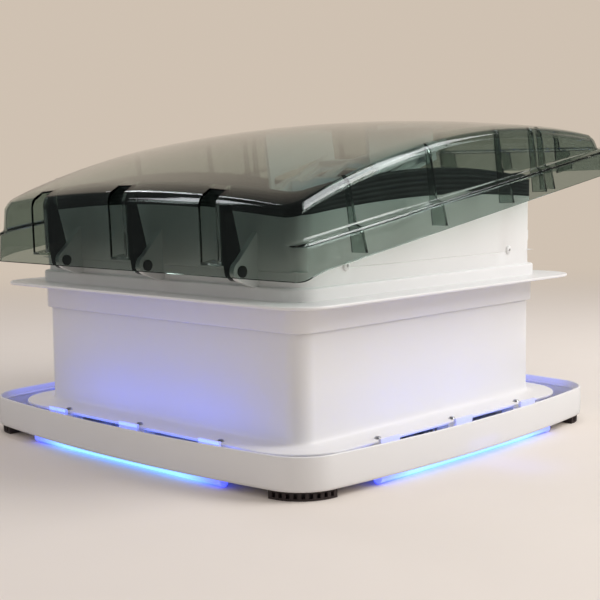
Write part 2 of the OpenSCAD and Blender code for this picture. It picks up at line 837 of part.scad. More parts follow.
module worm_spindle() {
    core = worm_r - 1.4 * tooth_m;
    top = lift_axis[2] + worm_half + side_play + bracket_arm_t + 2;
    color("silver") translate([-worm_x, worm_y, 0]) {
        translate([0, 0, knob_z + 6]) cylinder(d = spindle_d, h = top - knob_z - 6);
        translate([0, 0, lift_axis[2] - worm_half]) cylinder(r = core, h = 2 * worm_half);
        translate([0, 0, lift_axis[2]]) worm_thread();
    }
}

module crank_knob() {
    flutes = 18;
    color("whitesmoke") translate([-worm_x, worm_y, knob_z]) difference() {
        cylinder(d = knob_d, h = knob_h);
        for (i = [0:flutes - 1]) rotate([0, 0, i * 360 / flutes])
            translate([knob_d / 2 + 0.8, 0, -1]) cylinder(r = 2, h = knob_h - 2);
        translate([0, 0, 6]) cylinder(d = spindle_d, h = knob_h);
        translate([knob_d / 4 + 2, 0, -1]) cylinder(r = 4, h = 4);
    }
}

// The bail's two arms lie at lift_rest above the horizontal, with a web between their tips
module lift_bail() {
    arm_w = 14;
    web_from = lift_l - 74;
    color("white") translate(lift_axis) rotate([lift_rest, 0, 0]) difference() {
        union() {
            for (s = [0, 1]) mirror([s, 0, 0]) {
                along_x(arm_x - arm_t / 2, arm_x + arm_t / 2) {
                    circle(shaft_d / 2 + 6);
                    translate([0, -arm_w / 2]) square([lift_l, arm_w]);
                    translate([lift_l, 0]) circle(arm_w / 2);
                }
                translate([0, lift_l, 0]) bar_x(bail_pin_r, arm_x, rail_x + rail_t + 2);
            }
            translate([-arm_x, web_from, -2]) cube([2 * arm_x, 60, 4]);
            translate([-arm_x, web_from, -arm_w / 2]) cube([2 * arm_x, 4, arm_w]);
            translate([-arm_x, web_from + 56, -arm_w / 2]) cube([2 * arm_x, 4, arm_w]);
        }
        bar_x(shaft_d / 2, -far, far);
        for (x = [-44, 0, 44]) translate([x - 15, web_from + 12, -20]) cube([30, 36, 40]);
    }
}

// Slotted rails under the crown, in the closed lid's place: the bail's tip pins run in their slots
module rail_slot(r) {
    from = 2 * lift_l * cos(lid_travel) - 4;
    to = 2 * lift_l + 4;
    rotate(lift_slope) {
        translate([from, -r]) square([to - from, 2 * r]);
        translate([from, 0]) circle(r);
        translate([to, 0]) circle(r);
    }
}

module lift_rails() {
    foot_w = 18;
    foot_t = 4;
    rail_lip = 4;
    below = bail_pin_r + side_play + rail_lip;
    reach0 = 2 * lift_l * cos(lid_travel) - 16;
    reach1 = 2 * lift_l * cos(lift_slope) + 16;
    y0 = reach0 - hinge_y;
    y1 = reach1 - hinge_y;
    top = lid_top - lid_t - pow(rail_x + foot_w, 2) / (2 * crown_rx) - seat_gap - 0.4;
    color("white") at_lid() for (s = [0, 1]) mirror([s, 0, 0]) intersection() {
        difference() {
            union() {
                along_x(rail_x, rail_x + rail_t)
                    polygon([[y0, lid_top], [y0, hinge_z + reach0 * tan(lift_slope) - below],
                        [y1, hinge_z + reach1 * tan(lift_slope) - below], [y1, lid_top]]);
                difference() {
                    translate([rail_x, y0, 50]) cube([foot_w, y1 - y0, 100]);
                    translate([0, crown_y, top - foot_t - crown_ry]) wide_bar_x(crown_ry);
                }
            }
            translate(hinge) along_x(-far, far) rail_slot(bail_pin_r + side_play);
        }
        translate([0, crown_y, top - crown_ry]) wide_bar_x(crown_ry);
    }
}

// Lid, in its closed place and then turned to rest

// Height of the crown: it falls as a square both ways from its highest point
function crown(x, y) = lid_top - crown_fall_y * pow((y - crown_y) / crown_half_y, 2)
    - crown_fall_x * pow(x / crown_half_x, 2)
    - hinge_dip * pow(max(0, 1 - (y + hinge_wall_y) / hinge_dip_run), 2);

// Points round a rounded rectangle from hinge side y0 to far side y1
arc_steps = 8;
side_steps = 9;
function corner(cx, cy, r, a0) = [for (i = [0:arc_steps]) let(a = a0 + 90 * i / arc_steps)
    [cx + r * cos(a), cy + r * sin(a)]];
function between(p, q) = [for (i = [1:side_steps]) p + (q - p) * i / (side_steps + 1)];
function outline(hx, y0, y1, r) = let(
    a = corner(hx - r, y0 + r, r, -90), b = corner(hx - r, y1 - r, r, 0),
    c = corner(-hx + r, y1 - r, r, 90), d = corner(-hx + r, y0 + r, r, 180), e = arc_steps)
    concat(a, between(a[e], b[0]), b, between(b[e], c[0]), c, between(c[e], d[0]), d, between(d[e], a[0]));

// Foot of the skirt: lower along the hinge wall than along the sides
foot_run = lid_r + 10;
function foot_z(y) = let(s = min(1, max(0, (foot_run - y - hinge_wall_y) / foot_run)))
    skirt_z + (hinge_wall_z - skirt_z) * s * s * (3 - 2 * s);

// One level of the lid: inset from the skirt's foot at sides, hinge wall and far wall. Its corners grow with
// the inset of the sides
corner_grow = 0.35;
function level(in_x, in_h, in_f, off) = outline(skirt_x - in_x - off, -hinge_wall_y + in_h + off,
    far_wall_y + far_ledge - in_f - off, max(lid_r + corner_grow * in_x - off, 4));
function lean(z) = hinge_lean * (z - hinge_wall_z);
function flat(points, z) = [for (p = points) [p[0], p[1], z]];
function on_crown(points, drop) = [for (p = points) [p[0], p[1], crown(p[0], p[1]) - drop]];
function on_foot(points, drop) = [for (p = points) [p[0], p[1], foot_z(p[1]) - drop]];
function shrunk(points, s) = [for (p = points) [p[0] * s, crown_y + (p[1] - crown_y) * s]];

// Rings of the lid's outer form for off = 0, and of its hollow for off = lid_t: the skirt, the ledge, the
// wall above it, a bevelled rim and the crown
function lid_rings(off) = let(w = ledge_w, f = far_ledge, h = lean(ledge_z + 30), d = off > 0 ? 20 : 0,
    rim = level(w + 9, h + 6.5, f + 7, off)) concat(
    [on_foot(level(0, lean(hinge_wall_z - d), 0, off), d)],
    [flat(level(2.6, lean(ledge_z - 3), 2.6, off), ledge_z - 3 - off)],
    [flat(level(3.4, lean(ledge_z - 1), 3.4, off), ledge_z - 1 - off)],
    [flat(level(w + 0.4, lean(ledge_z + 1), f + 0.4, off), ledge_z + 1 - off)],
    [flat(level(w + 1.2, lean(ledge_z + 3), f + 0.6, off), ledge_z + 3 - off)],
    [on_crown(level(w + 3, h, f + 1.8, off), 7.5 + off)],
    [on_crown(level(w + 3.6, h + 0.6, f + 2.2, off), 6 + off)],
    [on_crown(level(w + 6.6, h + 3.6, f + 4.6, off), 2.2 + off)],
    [on_crown(rim, 0.8 + off)],
    [for (s = [0.94, 0.78, 0.6, 0.4, 0.2]) on_crown(shrunk(rim, s), off)]);

// A closed body through rings of equal length, with a point in the middle of each end
module loft(rings, low, high) {
    n = len(rings[0]);
    m = len(rings);
    points = concat([for (r = rings, p = r) p], [low, high]);
    sides = [for (i = [0:m - 2], j = [0:n - 1]) let(k = (j + 1) % n)
        each [[i * n + j, (i + 1) * n + j, i * n + k], [i * n + k, (i + 1) * n + j, (i + 1) * n + k]]];
    ends = [for (j = [0:n - 1]) let(k = (j + 1) % n)
        each [[m * n, j, k], [m * n + 1, (m - 1) * n + k, (m - 1) * n + j]]];
    polyhedron(points, concat(sides, ends));
}

module lid_form(off) {
    loft(lid_rings(off), [0, crown_y, skirt_z - off * 8], [0, crown_y, lid_top - off]);
}

pocket_wall = 3;
pocket_foot = hinge_z + pin_clip_r + 1.2;

// Block that a hinge pocket is cut from, or the pocket itself, at the ear at x. Its back leans with the wall
module pocket(x, grow) {
    x1 = x - ear_t - side_play - lug_t - pocket_wall;
    z1 = pocket_foot + (grow > 0 ? 0 : 2);
    translate([x1 - pocket_w - grow, -hinge_wall_y + lean(z1), z1])
        multmatrix([[1, 0, 0, 0], [0, 1, hinge_lean, 0], [0, 0, 1, 0]])
            translate([0, -20, 0]) cube([pocket_w + 2 * grow, pocket_deep + 20 + grow, lid_top]);
}

rib_t = 2.5;
rib_in = 11;
rib_foot = 3;
side_ribs = [-145, -22, 97, 162, 179];
far_ribs = [-168, -84, 0, 84, 168];

// A rib behind the wall that faces +X, from near the skirt's foot up to the rim: its straight inner edge
// leaves it narrow above the ledge and wider behind the skirt
module side_rib(y, wall_x, ledge = ledge_w) {
    translate([wall_x - rib_in, y - rib_t / 2, skirt_z + rib_foot])
        cube([rib_in + ledge, rib_t, lid_top - skirt_z]);
}

module lid_dome() {
    wall_x = skirt_x - ledge_w;
    color([0.25, 0.29, 0.27, 0.6]) at_lid() difference() {
        union() {
            difference() {
                lid_form(0);
                lid_form(lid_t);
            }
            intersection() {
                lid_form(lid_t / 2);
                union() {
                    for (x = stations) pocket(x, pocket_wall);
                    for (s = [0, 1], y = side_ribs) mirror([s, 0, 0]) side_rib(y, wall_x);
                    for (x = far_ribs) rotate([0, 0, 90]) side_rib(-x, far_wall_y, far_ledge);
                }
            }
        }
        for (x = stations) pocket(x, 0);
    }
}

// Hinge plates: each lies against a pocket's wall and turns on its pin beside the ear
module lid_lugs() {
    eye = pin_d / 2 + 6;
    low = 14;
    high = 60;
    front = hinge_wall_out - lid_t - 1;
    color([0.25, 0.29, 0.27, 0.6]) at_lid() for (x = stations) translate(hinge) difference() {
        along_x(x - ear_t - side_play - lug_t, x - ear_t - side_play) {
            circle(eye);
            polygon([[-eye, 0], [lean(hinge_z + low) - front, low], [lean(hinge_z + high) - front, high],
                [4, high], [8, 20], [eye, 0]]);
        }
        bar_x(pin_d / 2 + pin_clear, -far, far);
    }
}

roof_frame();
frame_seal();
hinge_pins();
pin_clips();
side_screws();
lid_catches();
throat_duct();
trim_ring();
ring_clips();
trim_screws();
led_strips();
led_diffusers();
corner_grilles();
fascia_panel();
screen_frame();
insect_screen();
control_board();
fan_shroud();
motor_bracket();
fan_motor();
bracket_screws();
fan_rotor();
motor_shaft();
rotor_nut();
left_bearing();
right_bearing();
spindle_bracket();
lift_shaft();
worm_wheel();
lift_bail();
worm_spindle();
crank_knob();
fan_button();
light_button();
dim_button();
lid_dome();
lid_lugs();
lift_rails();
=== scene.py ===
"""Caravan roof vent: soft-edged mouldings, a smoked lid, finishes and a plain studio round the model."""

import json
import math

import bpy
import numpy as np
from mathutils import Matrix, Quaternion, Vector


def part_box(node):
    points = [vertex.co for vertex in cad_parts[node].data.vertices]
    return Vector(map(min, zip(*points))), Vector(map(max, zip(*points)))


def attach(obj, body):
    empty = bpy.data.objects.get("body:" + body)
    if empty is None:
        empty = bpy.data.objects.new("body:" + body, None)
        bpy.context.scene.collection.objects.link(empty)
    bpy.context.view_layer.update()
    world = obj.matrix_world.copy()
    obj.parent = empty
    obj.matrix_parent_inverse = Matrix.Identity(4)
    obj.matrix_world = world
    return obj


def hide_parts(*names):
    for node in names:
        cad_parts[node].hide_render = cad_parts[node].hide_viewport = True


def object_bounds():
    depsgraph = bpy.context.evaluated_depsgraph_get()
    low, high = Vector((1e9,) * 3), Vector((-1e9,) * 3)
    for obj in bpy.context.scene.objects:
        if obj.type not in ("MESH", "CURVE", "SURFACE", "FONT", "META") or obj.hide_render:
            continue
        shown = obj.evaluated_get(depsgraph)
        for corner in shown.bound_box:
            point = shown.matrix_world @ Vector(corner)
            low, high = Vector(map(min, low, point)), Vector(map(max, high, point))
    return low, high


bl_info = {
    "name": "Caravan roof vent",
    "version": (1, 0, 0),
    "blender": (4, 5, 0),
    "location": "View3D > Sidebar > Roof vent",
    "description": "Dresses the packed roof vent with mouldings, finishes and a studio",
    "category": "Object",
}

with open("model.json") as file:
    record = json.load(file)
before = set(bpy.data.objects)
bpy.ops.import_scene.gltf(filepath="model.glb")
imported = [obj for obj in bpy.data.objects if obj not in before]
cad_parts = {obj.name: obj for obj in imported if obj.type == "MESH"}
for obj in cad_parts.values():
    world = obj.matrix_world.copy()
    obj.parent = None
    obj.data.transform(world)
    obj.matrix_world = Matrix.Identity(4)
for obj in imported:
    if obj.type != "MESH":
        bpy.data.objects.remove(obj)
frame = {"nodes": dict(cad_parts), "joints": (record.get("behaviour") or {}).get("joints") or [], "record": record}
CAD_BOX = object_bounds()
NODES = frame["nodes"]
JOINTS = {joint["name"]: joint for joint in frame["joints"]}
HINGE = np.array(JOINTS["lid_hinge"]["pos_m"])
MM = 0.001

# Places of the lid's ribs in millimetres: along Y behind the sides and along X behind the far wall
SIDE_RIBS = (-145, -22, 97, 162, 179)
FAR_RIBS = (-168, -84, 0, 84, 168)
# Points of one row round the lid: even steps of the hinge wall, a corner, a side and the far wall
HINGE_POINTS, CORNER_POINTS, SIDE_POINTS, FAR_POINTS = 41, 11, 34, 30
# Points of a rounded corner of the lid's wall, rows over its crown, and rows that a rib follows
BEND_POINTS, CROWN_ROWS, RIB_ROWS = 6, 20, 30
# Points round a screw head and round the floor
SCREW_POINTS, FLOOR_POINTS = 24, 96

# Finishes: name of the colour, grain, least and most roughness, bump and drift of tone
RECIPES = {
    "satin white": ("white", 1400, 0.34, 0.46, 0.05, 0.025),
    "smoked acrylic": ("smoke", 60, 0.01, 0.03, 0.01, 0.05),
    "thick acrylic": ("thick", 60, 0.03, 0.06, 0.01, 0.05),
    "seal rubber": ("rubber", 700, 0.5, 0.68, 0.2, 0.2),
    "comb plastic": ("comb", 900, 0.45, 0.6, 0.12, 0.15),
    "plated steel": ("steel", 2200, 0.24, 0.4, 0.05, 0.08),
    "black steel": ("black", 1600, 0.35, 0.5, 0.08, 0.2),
    "gear nylon": ("nylon", 1100, 0.38, 0.52, 0.08, 0.06),
    "board mask": ("board", 1800, 0.25, 0.35, 0.05, 0.2),
    "screen mesh": ("mesh", 2600, 0.45, 0.6, 0.2, 0.15),
    "soft key": ("key", 2000, 0.5, 0.62, 0.1, 0.05),
    "motor paint": ("motor", 1500, 0.3, 0.42, 0.1, 0.1),
    "lit diffuser": ("frost", 1200, 0.3, 0.42, 0.06, 0.04),
    "lit board": ("frost", 1200, 0.3, 0.42, 0.06, 0.04),
    "studio floor": ("floor", 300, 0.75, 0.9, 0.02, 0.01),
}
CLEAR = {"Transmission_Weight": 1.0, "IOR": 1.49}
EXTRAS = {"smoked acrylic": CLEAR, "thick acrylic": CLEAR, "plated steel": {"Metallic": 1.0}}
# Power of the smoke's tint that shadow rays take from each face of the lid
SHADOW_POWER = 0.75
# Share of a light strip's half length over which it glows in full
FULL_GLOW = 0.6

# Large lamps: name, light and share of its power, place, aim, size and tint
PANELS = (
    ("key lamp", "key", 1, (1.55, 0.95, 1.0), (0, 0, -0.05), (0.9, 0.8), (1.0, 0.99, 0.98)),
    ("rim panel", "rim", 1, (-1.12, 0.05, 1.36), (0.1, -0.22, 0.1), (0.12, 0.8), (0.95, 0.95, 1.0)),
    ("low panel", "rim", 1, (-1.2, -1.2, 0.95), (0.1, -0.22, 0.1), (0.2, 0.7), (0.95, 0.95, 1.0)),
    ("edge panel", "edge", 1, (1.15, 0.82, 1.55), (0.22, -0.1, 0.1), (0.9, 0.7), (0.97, 0.97, 1.0)),
    ("far panel", "edge", 0.4, (1.03, 1.4, 1.36), (0.22, 0.05, 0.12), (0.55, 0.5), (0.97, 0.97, 1.0)),
)
# Lamps of more than this many watts are mirrored
MIRRORED_WATTS = 1
# Shares of the ring and glow lamps on the four sides, from +X anticlockwise
SIDE_SHARES = (0.12, 1, 1, 1)
# Radii of the floor's rings, and the distances over which it turns into the background
FLOOR_RINGS = (0.0005, 0.4, 0.8, 1.2, 1.8, 2.6)
FLOOR_FADE = (0.8, 2.4)
# Level direction from the camera to the back, and where along it floor and world begin to show as backdrop
BACKWARDS = (-0.687, 0.727, 0.0)
FLOOR_BEHIND, WORLD_BEHIND = (0.2, 0.8), (0.5, 0.85)
# Camera: place, direction, roll in degrees, lens and sensor in millimetres, shift
CAMERA_PLACE, CAMERA_WAY = (0.90907, -0.96098, 0.11654), (-0.68372, 0.72276, -0.10071)
CAMERA_ROLL, CAMERA_LENS, CAMERA_SENSOR, CAMERA_SHIFT = -0.709, 70.68, 36.0, (0.016, -0.00925)


def half_width(node):
    """Half the width of a node along X, in metres."""
    low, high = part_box(node)
    return (high[0] - low[0]) / 2


def height(node, end):
    """Lowest (end 0) or highest (end 1) level of a node, in metres."""
    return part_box(node)[end][2]


# Sizes, colours and lights that a user would change


def length(name, description, default):
    """A length property in metres."""
    return bpy.props.FloatProperty(
        name=name, description=description, default=default, unit="LENGTH", precision=4
    )


def colour(name, description, default):
    """A linear colour property."""
    return bpy.props.FloatVectorProperty(
        name=name, description=description, default=default, subtype="COLOR", size=3
    )


def number(name, description, default):
    """A plain number property."""
    return bpy.props.FloatProperty(name=name, description=description, default=default, precision=3)


class VentSizes(bpy.types.PropertyGroup):
    """Sizes of the mouldings that the scene draws with soft edges."""

    flange_half: length("Flange half", "Half width of the roof flange", half_width("roof_frame"))
    flange_radius: length("Flange corner", "Corner radius of the roof flange", 39 * MM)
    flange_thick: length("Flange thickness", "Thickness of the roof flange", 3 * MM)
    collar_half: length("Collar half", "Half width of the collar on the flange", 201.5 * MM)
    collar_top: length("Collar height", "Height of the collar above the roof", 15 * MM)
    upstand_half: length("Upstand half", "Half width of the upstand", half_width("frame_seal"))
    upstand_radius: length("Upstand corner", "Corner radius of the upstand", 20 * MM)
    upstand_top: length("Upstand height", "Height of the upstand at mid side", 95 * MM)
    upstand_crown: length("Upstand crown", "Radius of the upstand's crowned edge", 1.9)
    upstand_crown_y: length("Crown place", "Distance of that crown's highest point from the middle", 50 * MM)
    seam_z: length("Seam height", "Height of the seam along the upstand's sides", 30 * MM)
    seam: length("Seam depth", "Depth of that seam", 0.7 * MM)
    ear_pitch: length("Ear pitch", "Distance between hinge ears", 133 * MM)
    ear_shift: length("Ear shift", "Distance of the middle ear from the middle", 12.5 * MM)
    ear_thick: length("Ear thickness", "Thickness of a hinge ear", 6 * MM)
    ear_top: length("Ear top", "Height at which an ear leaves the upstand", 66 * MM)
    ear_nose: length("Ear nose", "Radius of an ear's round nose", 10 * MM)
    neck_half: length("Neck half", "Half width of the neck in the roof opening", 199 * MM)
    neck_radius: length("Neck corner", "Corner radius of the neck", 22 * MM)
    wall: length("Wall", "Wall of the roof frame", 3 * MM)
    seal_width: length("Seal width", "Width of the seal on the upstand", 8 * MM)
    seal_gap: length("Seal gap", "Gap between the seal and the closed lid", 2 * MM)
    throat_half: length("Throat half", "Half width of the throat duct", 195 * MM)
    throat_radius: length("Throat corner", "Corner radius of the throat duct", 20 * MM)
    throat_wall: length("Throat wall", "Wall of the throat duct", 2.5 * MM)
    plate_half: length("Plate half", "Half width of the throat's plate", half_width("throat_duct"))
    plate_radius: length("Plate corner", "Corner radius of that plate", 60 * MM)
    ring_half: length("Ring half", "Half width of the trim ring", half_width("trim_ring"))
    ring_radius: length("Ring corner", "Corner radius of the trim ring", 47 * MM)
    ring_bow: length("Ring bow", "Radius of the trim ring's bowed sides", 1.55)
    tray_width: length("Tray width", "Width of the trim ring's tray", 44 * MM)
    strip_half: length("Strip half", "Half length of a lit strip", 145 * MM)
    edge: length("Edge round", "Rounding of moulded edges", 1.2 * MM)


class VentLid(bpy.types.PropertyGroup):
    """Form of the smoked lid, drawn level and then turned to its place at rest."""

    open_deg: number("Open", "Angle of the lid at rest above level, in degrees", 9.2)
    seat_deg: number("Seat", "Angle above level at which the closed lid rests, in degrees", 1.2)
    thick: length("Thickness", "Thickness of the acrylic", 3 * MM)
    skirt_half: length("Skirt half", "Half width of the skirt at its foot", half_width("lid_dome"))
    skirt_z: length("Skirt foot", "Height of the skirt's foot along the sides", 32 * MM)
    skirt_in: length("Skirt inset", "Inset of the skirt where it meets the ledge", 2.9 * MM)
    hinge_z: length("Hinge foot", "Height of the hinge wall's foot", 27.5 * MM)
    hinge_y: length("Hinge wall", "Distance of the hinge wall from the middle", 232.2 * MM)
    straight: length("Straight part", "Half of the hinge wall whose columns keep their places", 165 * MM)
    far_y: length("Far skirt", "Distance of the far skirt's foot from the middle", 329 * MM)
    radius: length("Corner", "Corner radius of the skirt's foot", 12 * MM)
    grow: number("Corner growth", "How much a corner's radius grows with the inset of the sides", 0.35)
    lean: number("Hinge lean", "How far the hinge wall leans back for each unit of height", 0.13)
    ledge_z: length("Ledge height", "Height of the ledge", 60 * MM)
    ledge_in: length("Ledge inset", "Inset of the wall above the ledge", 9.9 * MM)
    rim_in: length("Rim inset", "Inset of the rim's lower edge", 12.2 * MM)
    rim_drop: length("Rim drop", "Depth of the rim's lower edge below the crown", 6.8 * MM)
    bevel_in: length("Bevel inset", "Inset of the rim's upper edge", 16.1 * MM)
    bevel_drop: length("Bevel drop", "Depth of the rim's upper edge below the crown", 1.9 * MM)
    far_in: length("Far inset", "Inset of the far wall above the ledge", 24.4 * MM)
    edge: length("Edge round", "Rounding of the lid's edges", 2.6 * MM)
    top: length("Crown height", "Height of the crown", 130.7 * MM)
    crown_y: length("Crown place", "Distance of the crown's highest point from the middle", 8 * MM)
    fall_x: length("Side fall", "Fall of the crown to a side", 14.4 * MM)
    fall_y: length("End fall", "Fall of the crown to an end", 27.3 * MM)
    half_x: length("Side span", "Distance at which the side fall is reached", 230 * MM)
    half_y: length("End span", "Distance at which the end fall is reached", 240 * MM)
    dip: length("Hinge dip", "Further fall of the crown at the hinge wall", 2.3 * MM)
    dip_run: length("Dip run", "Distance from the hinge wall at which that fall begins", 40 * MM)
    pocket: length("Pocket width", "Width of a hinge pocket", 22 * MM)
    pocket_deep: length("Pocket depth", "Depth of a pocket behind the hinge wall", 15 * MM)
    pocket_foot: length("Pocket foot", "Height of a pocket's floor", 40 * MM)
    pocket_side: length("Pocket side", "Distance of a pocket from its hinge ear", 16.5 * MM)
    rib_in: length("Rib edge", "Inset of the side ribs' straight inner edge", 20 * MM)
    far_rib_in: length("Far rib edge", "Inset of the far ribs' inner edge from the far wall", 11 * MM)
    rib_thick: length("Rib thickness", "Thickness of a rib", 2.5 * MM)


class VentColours(bpy.types.PropertyGroup):
    """Colours of the finishes and of the lights."""

    white: colour("White plastic", "Satin white mouldings", (0.80, 0.79, 0.775))
    smoke: colour("Smoked acrylic", "Tint of light through one wall of the lid", (0.43, 0.495, 0.46))
    thick: colour("Thick acrylic", "Hinge plates of the lid", (0.0215, 0.02475, 0.023))
    rubber: colour("Rubber", "Seal round the upstand", (0.012, 0.012, 0.011))
    comb: colour("Comb", "Slotted corner pieces", (0.05, 0.035, 0.032))
    steel: colour("Steel", "Plated screws, pins and shafts", (0.56, 0.56, 0.57))
    black: colour("Black steel", "Blackened hinge pins", (0.018, 0.018, 0.018))
    nylon: colour("Nylon", "Cream gear wheel", (0.72, 0.66, 0.5))
    board: colour("Board", "Control board", (0.02, 0.12, 0.05))
    mesh: colour("Screen", "Insect screen", (0.12, 0.12, 0.125))
    key: colour("Button", "Push buttons", (0.42, 0.42, 0.43))
    motor: colour("Motor", "Painted case of the motor", (0.1, 0.1, 0.11))
    frost: colour("Frost", "Frosted plastic of the light strips", (0.55, 0.7, 0.9))
    lamp: colour("Lamp", "Light of the strips", (0.12, 0.33, 1.0))
    lamp_end: colour("Lamp end", "Light of the strips at their ends", (0.02, 0.03, 0.6))
    spill: colour("Spill", "Light that the strips throw on the mouldings", (0.06, 0.13, 1.0))
    leak: colour("Leak", "Light that leaks up the throat", (0.35, 0.85, 1.0))
    fill: colour("Fill", "Soft light all round", (1.0, 0.95, 0.95))
    floor: colour("Floor", "Floor under the vent", (0.80, 0.735, 0.66))
    backdrop: colour("Backdrop", "Background behind the vent", (0.625, 0.535, 0.445))
    room: colour("Room", "Dark room round the studio, in reflections", (0.08, 0.085, 0.085))


class VentLights(bpy.types.PropertyGroup):
    """Strength of the studio lamps and of the light strips."""

    key: number("Key", "Power of the large lamp behind on the right, in watts", 16.5)
    rim: number("Rim", "Power of each of the two narrow panels on the left, in watts", 2.4)
    edge: number("Edge", "Power of the panel high behind on the right, in watts", 11.0)
    fill: number("Fill", "Strength of the soft light all round", 0.53)
    strip: number("Strips", "Emission of the light strips' diffusers", 2.2)
    board: number("Boards", "Emission of the light strips' boards", 0.176)
    trough: number("Trough", "Power of the strips' light in the tray, in watts", 0.06)
    ring: number("Ring", "Power of the strips' light on the ring's wall, in watts", 0.03)
    cavity: number("Cavity", "Power of the strips' light under the plate, in watts", 0.015)
    glow: number("Glow", "Power of the strips' light on the foot of the throat, in watts", 0.047)
    throat: number("Throat", "Power of the light that leaks up the throat, in watts", 0.08)


def sizes():
    """The scene's moulding sizes."""
    return bpy.context.scene.vent_sizes


def lid_form():
    """The scene's lid form."""
    return bpy.context.scene.vent_lid


def colours():
    """The scene's colours."""
    return bpy.context.scene.vent_colours


# Mesh building


def put(name, parts, material, body, replaced, sharp=38):
    """Joins (vertices, faces) parts into one mesh object at the origin that rides on a body.

    Edges that bend by more than sharp degrees stay crisp and all others are shaded smooth.
    """
    starts = np.cumsum([0] + [len(v) for v, _ in parts])
    verts = np.concatenate([v for v, _ in parts])
    faces = [tuple(int(k + s) for k in f) for s, (_, fs) in zip(starts, parts) for f in fs]
    mesh = bpy.data.meshes.new(name)
    mesh.from_pydata(verts.tolist(), [], faces)
    mesh.materials.append(material)
    mesh.polygons.foreach_set("use_smooth", np.ones(len(mesh.polygons), bool))
    mesh.set_sharp_from_angle(angle=math.radians(sharp))
    mesh.validate()
    piece = bpy.data.objects.new(name, mesh)
    bpy.context.scene.collection.objects.link(piece)
    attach(piece, body)
    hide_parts(*replaced)


def grid_faces(rows, cols, close_rows=True):
    """Quads over a rows by cols grid of points: each row is closed, and the last row may join the first."""
    i, j = np.meshgrid(np.arange(rows if close_rows else rows - 1), np.arange(cols), indexing="ij")
    i2, j2 = (i + 1) % rows, (j + 1) % cols
    return np.stack([i * cols + j, i * cols + j2, i2 * cols + j2, i2 * cols + j], -1).reshape(-1, 4)


def rounded(before, corner, after, reach, most, points):
    """Points of a curve at each corner, on a new second axis.

    The curve is (1-t)^2 A + 2t(1-t) B + t^2 C, where B is the corner, and A and C lie on its two sides at
    the distance reach, held to the share most of each side.
    """
    ends = []
    for other in (before, after):
        way = other - corner
        ends.append(corner + way * np.minimum(reach / np.linalg.norm(way, axis=-1, keepdims=True), most))
    a, b, c = ends[0][:, None], corner[:, None], ends[1][:, None]
    t = np.linspace(0, 1, points).reshape(-1, *[1] * (corner.ndim - 1))
    return (1 - t) ** 2 * a + 2 * t * (1 - t) * b + t**2 * c


def softened(corners, points=5):
    """A closed profile through (offset, height, round) corners, each rounded, or sharp where round is 0."""
    c = np.array(corners, float)
    p, r = c[:, :2], c[:, 2:3]
    curves = rounded(np.roll(p, 1, 0), p, np.roll(p, -1, 0), r, 0.49, points)
    return np.concatenate([curve if bend else curve[:1] for curve, bend in zip(curves, c[:, 2])])


def spin(quarter):
    """Matrix of a number of quarter turns in the plane."""
    c, s = [(1, 0), (0, 1), (-1, 0), (0, -1)][quarter]
    return np.array([[c, -s], [s, c]])


def four_sides(centre, angle, radii):
    """A path's first quarter, repeated on four sides: centres, outward directions and radii.

    A point of an offset copy is centre + (radius + offset) * direction.
    """
    centres = np.concatenate([centre @ spin(k).T for k in range(4)])
    angles = np.concatenate([angle + k * math.pi / 2 for k in range(4)])
    return centres, np.column_stack([np.cos(angles), np.sin(angles)]), np.tile(radii, 4)


def bowed_square(half, radius, bow, arc=16, side=24):
    """Path round a square with round corners, whose sides are arcs of radius bow that meet them smoothly."""
    at, gap = bow - half, bow - radius
    corner = (math.sqrt(2 * gap**2 - at**2) - at) / 2
    lean = math.asin(corner / gap)
    on_side = np.linspace(-lean, lean, side + 1)[1:-1]
    on_corner = np.linspace(lean, math.pi / 2 - lean, arc + 1)
    centre = np.concatenate([np.tile([-at, 0], (side - 1, 1)), np.tile([corner, corner], (arc + 1, 1))])
    radii = np.concatenate([np.full(side - 1, bow), np.full(arc + 1, radius)])
    return four_sides(centre, np.concatenate([on_side, on_corner]), radii)


def round_square(half, radius, arc=14, side=1):
    """Path round a square with round corners and straight sides, each cut into side pieces."""
    turn = np.linspace(0, math.pi / 2, arc + 1)
    slide = np.linspace(0, 1, side + 1)[1:-1, None]
    here, after = (half - radius) * np.array([1, 1]), (half - radius) * np.array([-1, 1])
    centre = np.concatenate([np.tile(here, (arc + 1, 1)), here + slide * (after - here)])
    angle = np.concatenate([turn, np.full(side - 1, math.pi / 2)])
    return four_sides(centre, angle, np.full(len(angle), radius))


def ring_sweep(profile, path):
    """A closed (offset, height) profile carried round a path, as a grid of points."""
    centre, way, radius = path
    flat = centre[None] + (radius[None, :, None] + profile[:, :1, None]) * way[None]
    level = np.broadcast_to(profile[:, 1][:, None, None], flat.shape[:2] + (1,))
    return np.concatenate([flat, level], 2)


def grid_part(points):
    """A grid closed both ways, as (vertices, faces)."""
    rows, cols = points.shape[:2]
    return points.reshape(-1, 3), grid_faces(rows, cols)


def prism(outline, x0, x1):
    """An outline of (y, z) points, anticlockwise, carried along X from x0 to x1."""
    o = np.asarray(outline, float)
    n = len(o)
    low = np.column_stack([np.full(n, x0), o])
    high = np.column_stack([np.full(n, x1), o])
    k = np.arange(n)
    sides = np.column_stack([k, (k + 1) % n, (k + 1) % n + n, k + n])
    return np.concatenate([low, high]), [*sides, k[::-1], k + n]


# Shader building


def add(tree, kind, spot, **inputs):
    """A shader node at a grid spot, with input values by name (underscores stand for spaces)."""
    node = tree.nodes.new(kind)
    node.location = (spot[0] * 200, spot[1] * 180)
    for key, value in inputs.items():
        node.inputs[key.replace("_", " ")].default_value = value
    return node


def maths(tree, spot, operation, *sockets):
    """Output of a Math node that the sockets feed."""
    node = add(tree, "ShaderNodeMath", spot)
    node.operation = operation
    for k, socket in enumerate(sockets):
        tree.links.new(socket, node.inputs[k])
    return node.outputs[0]


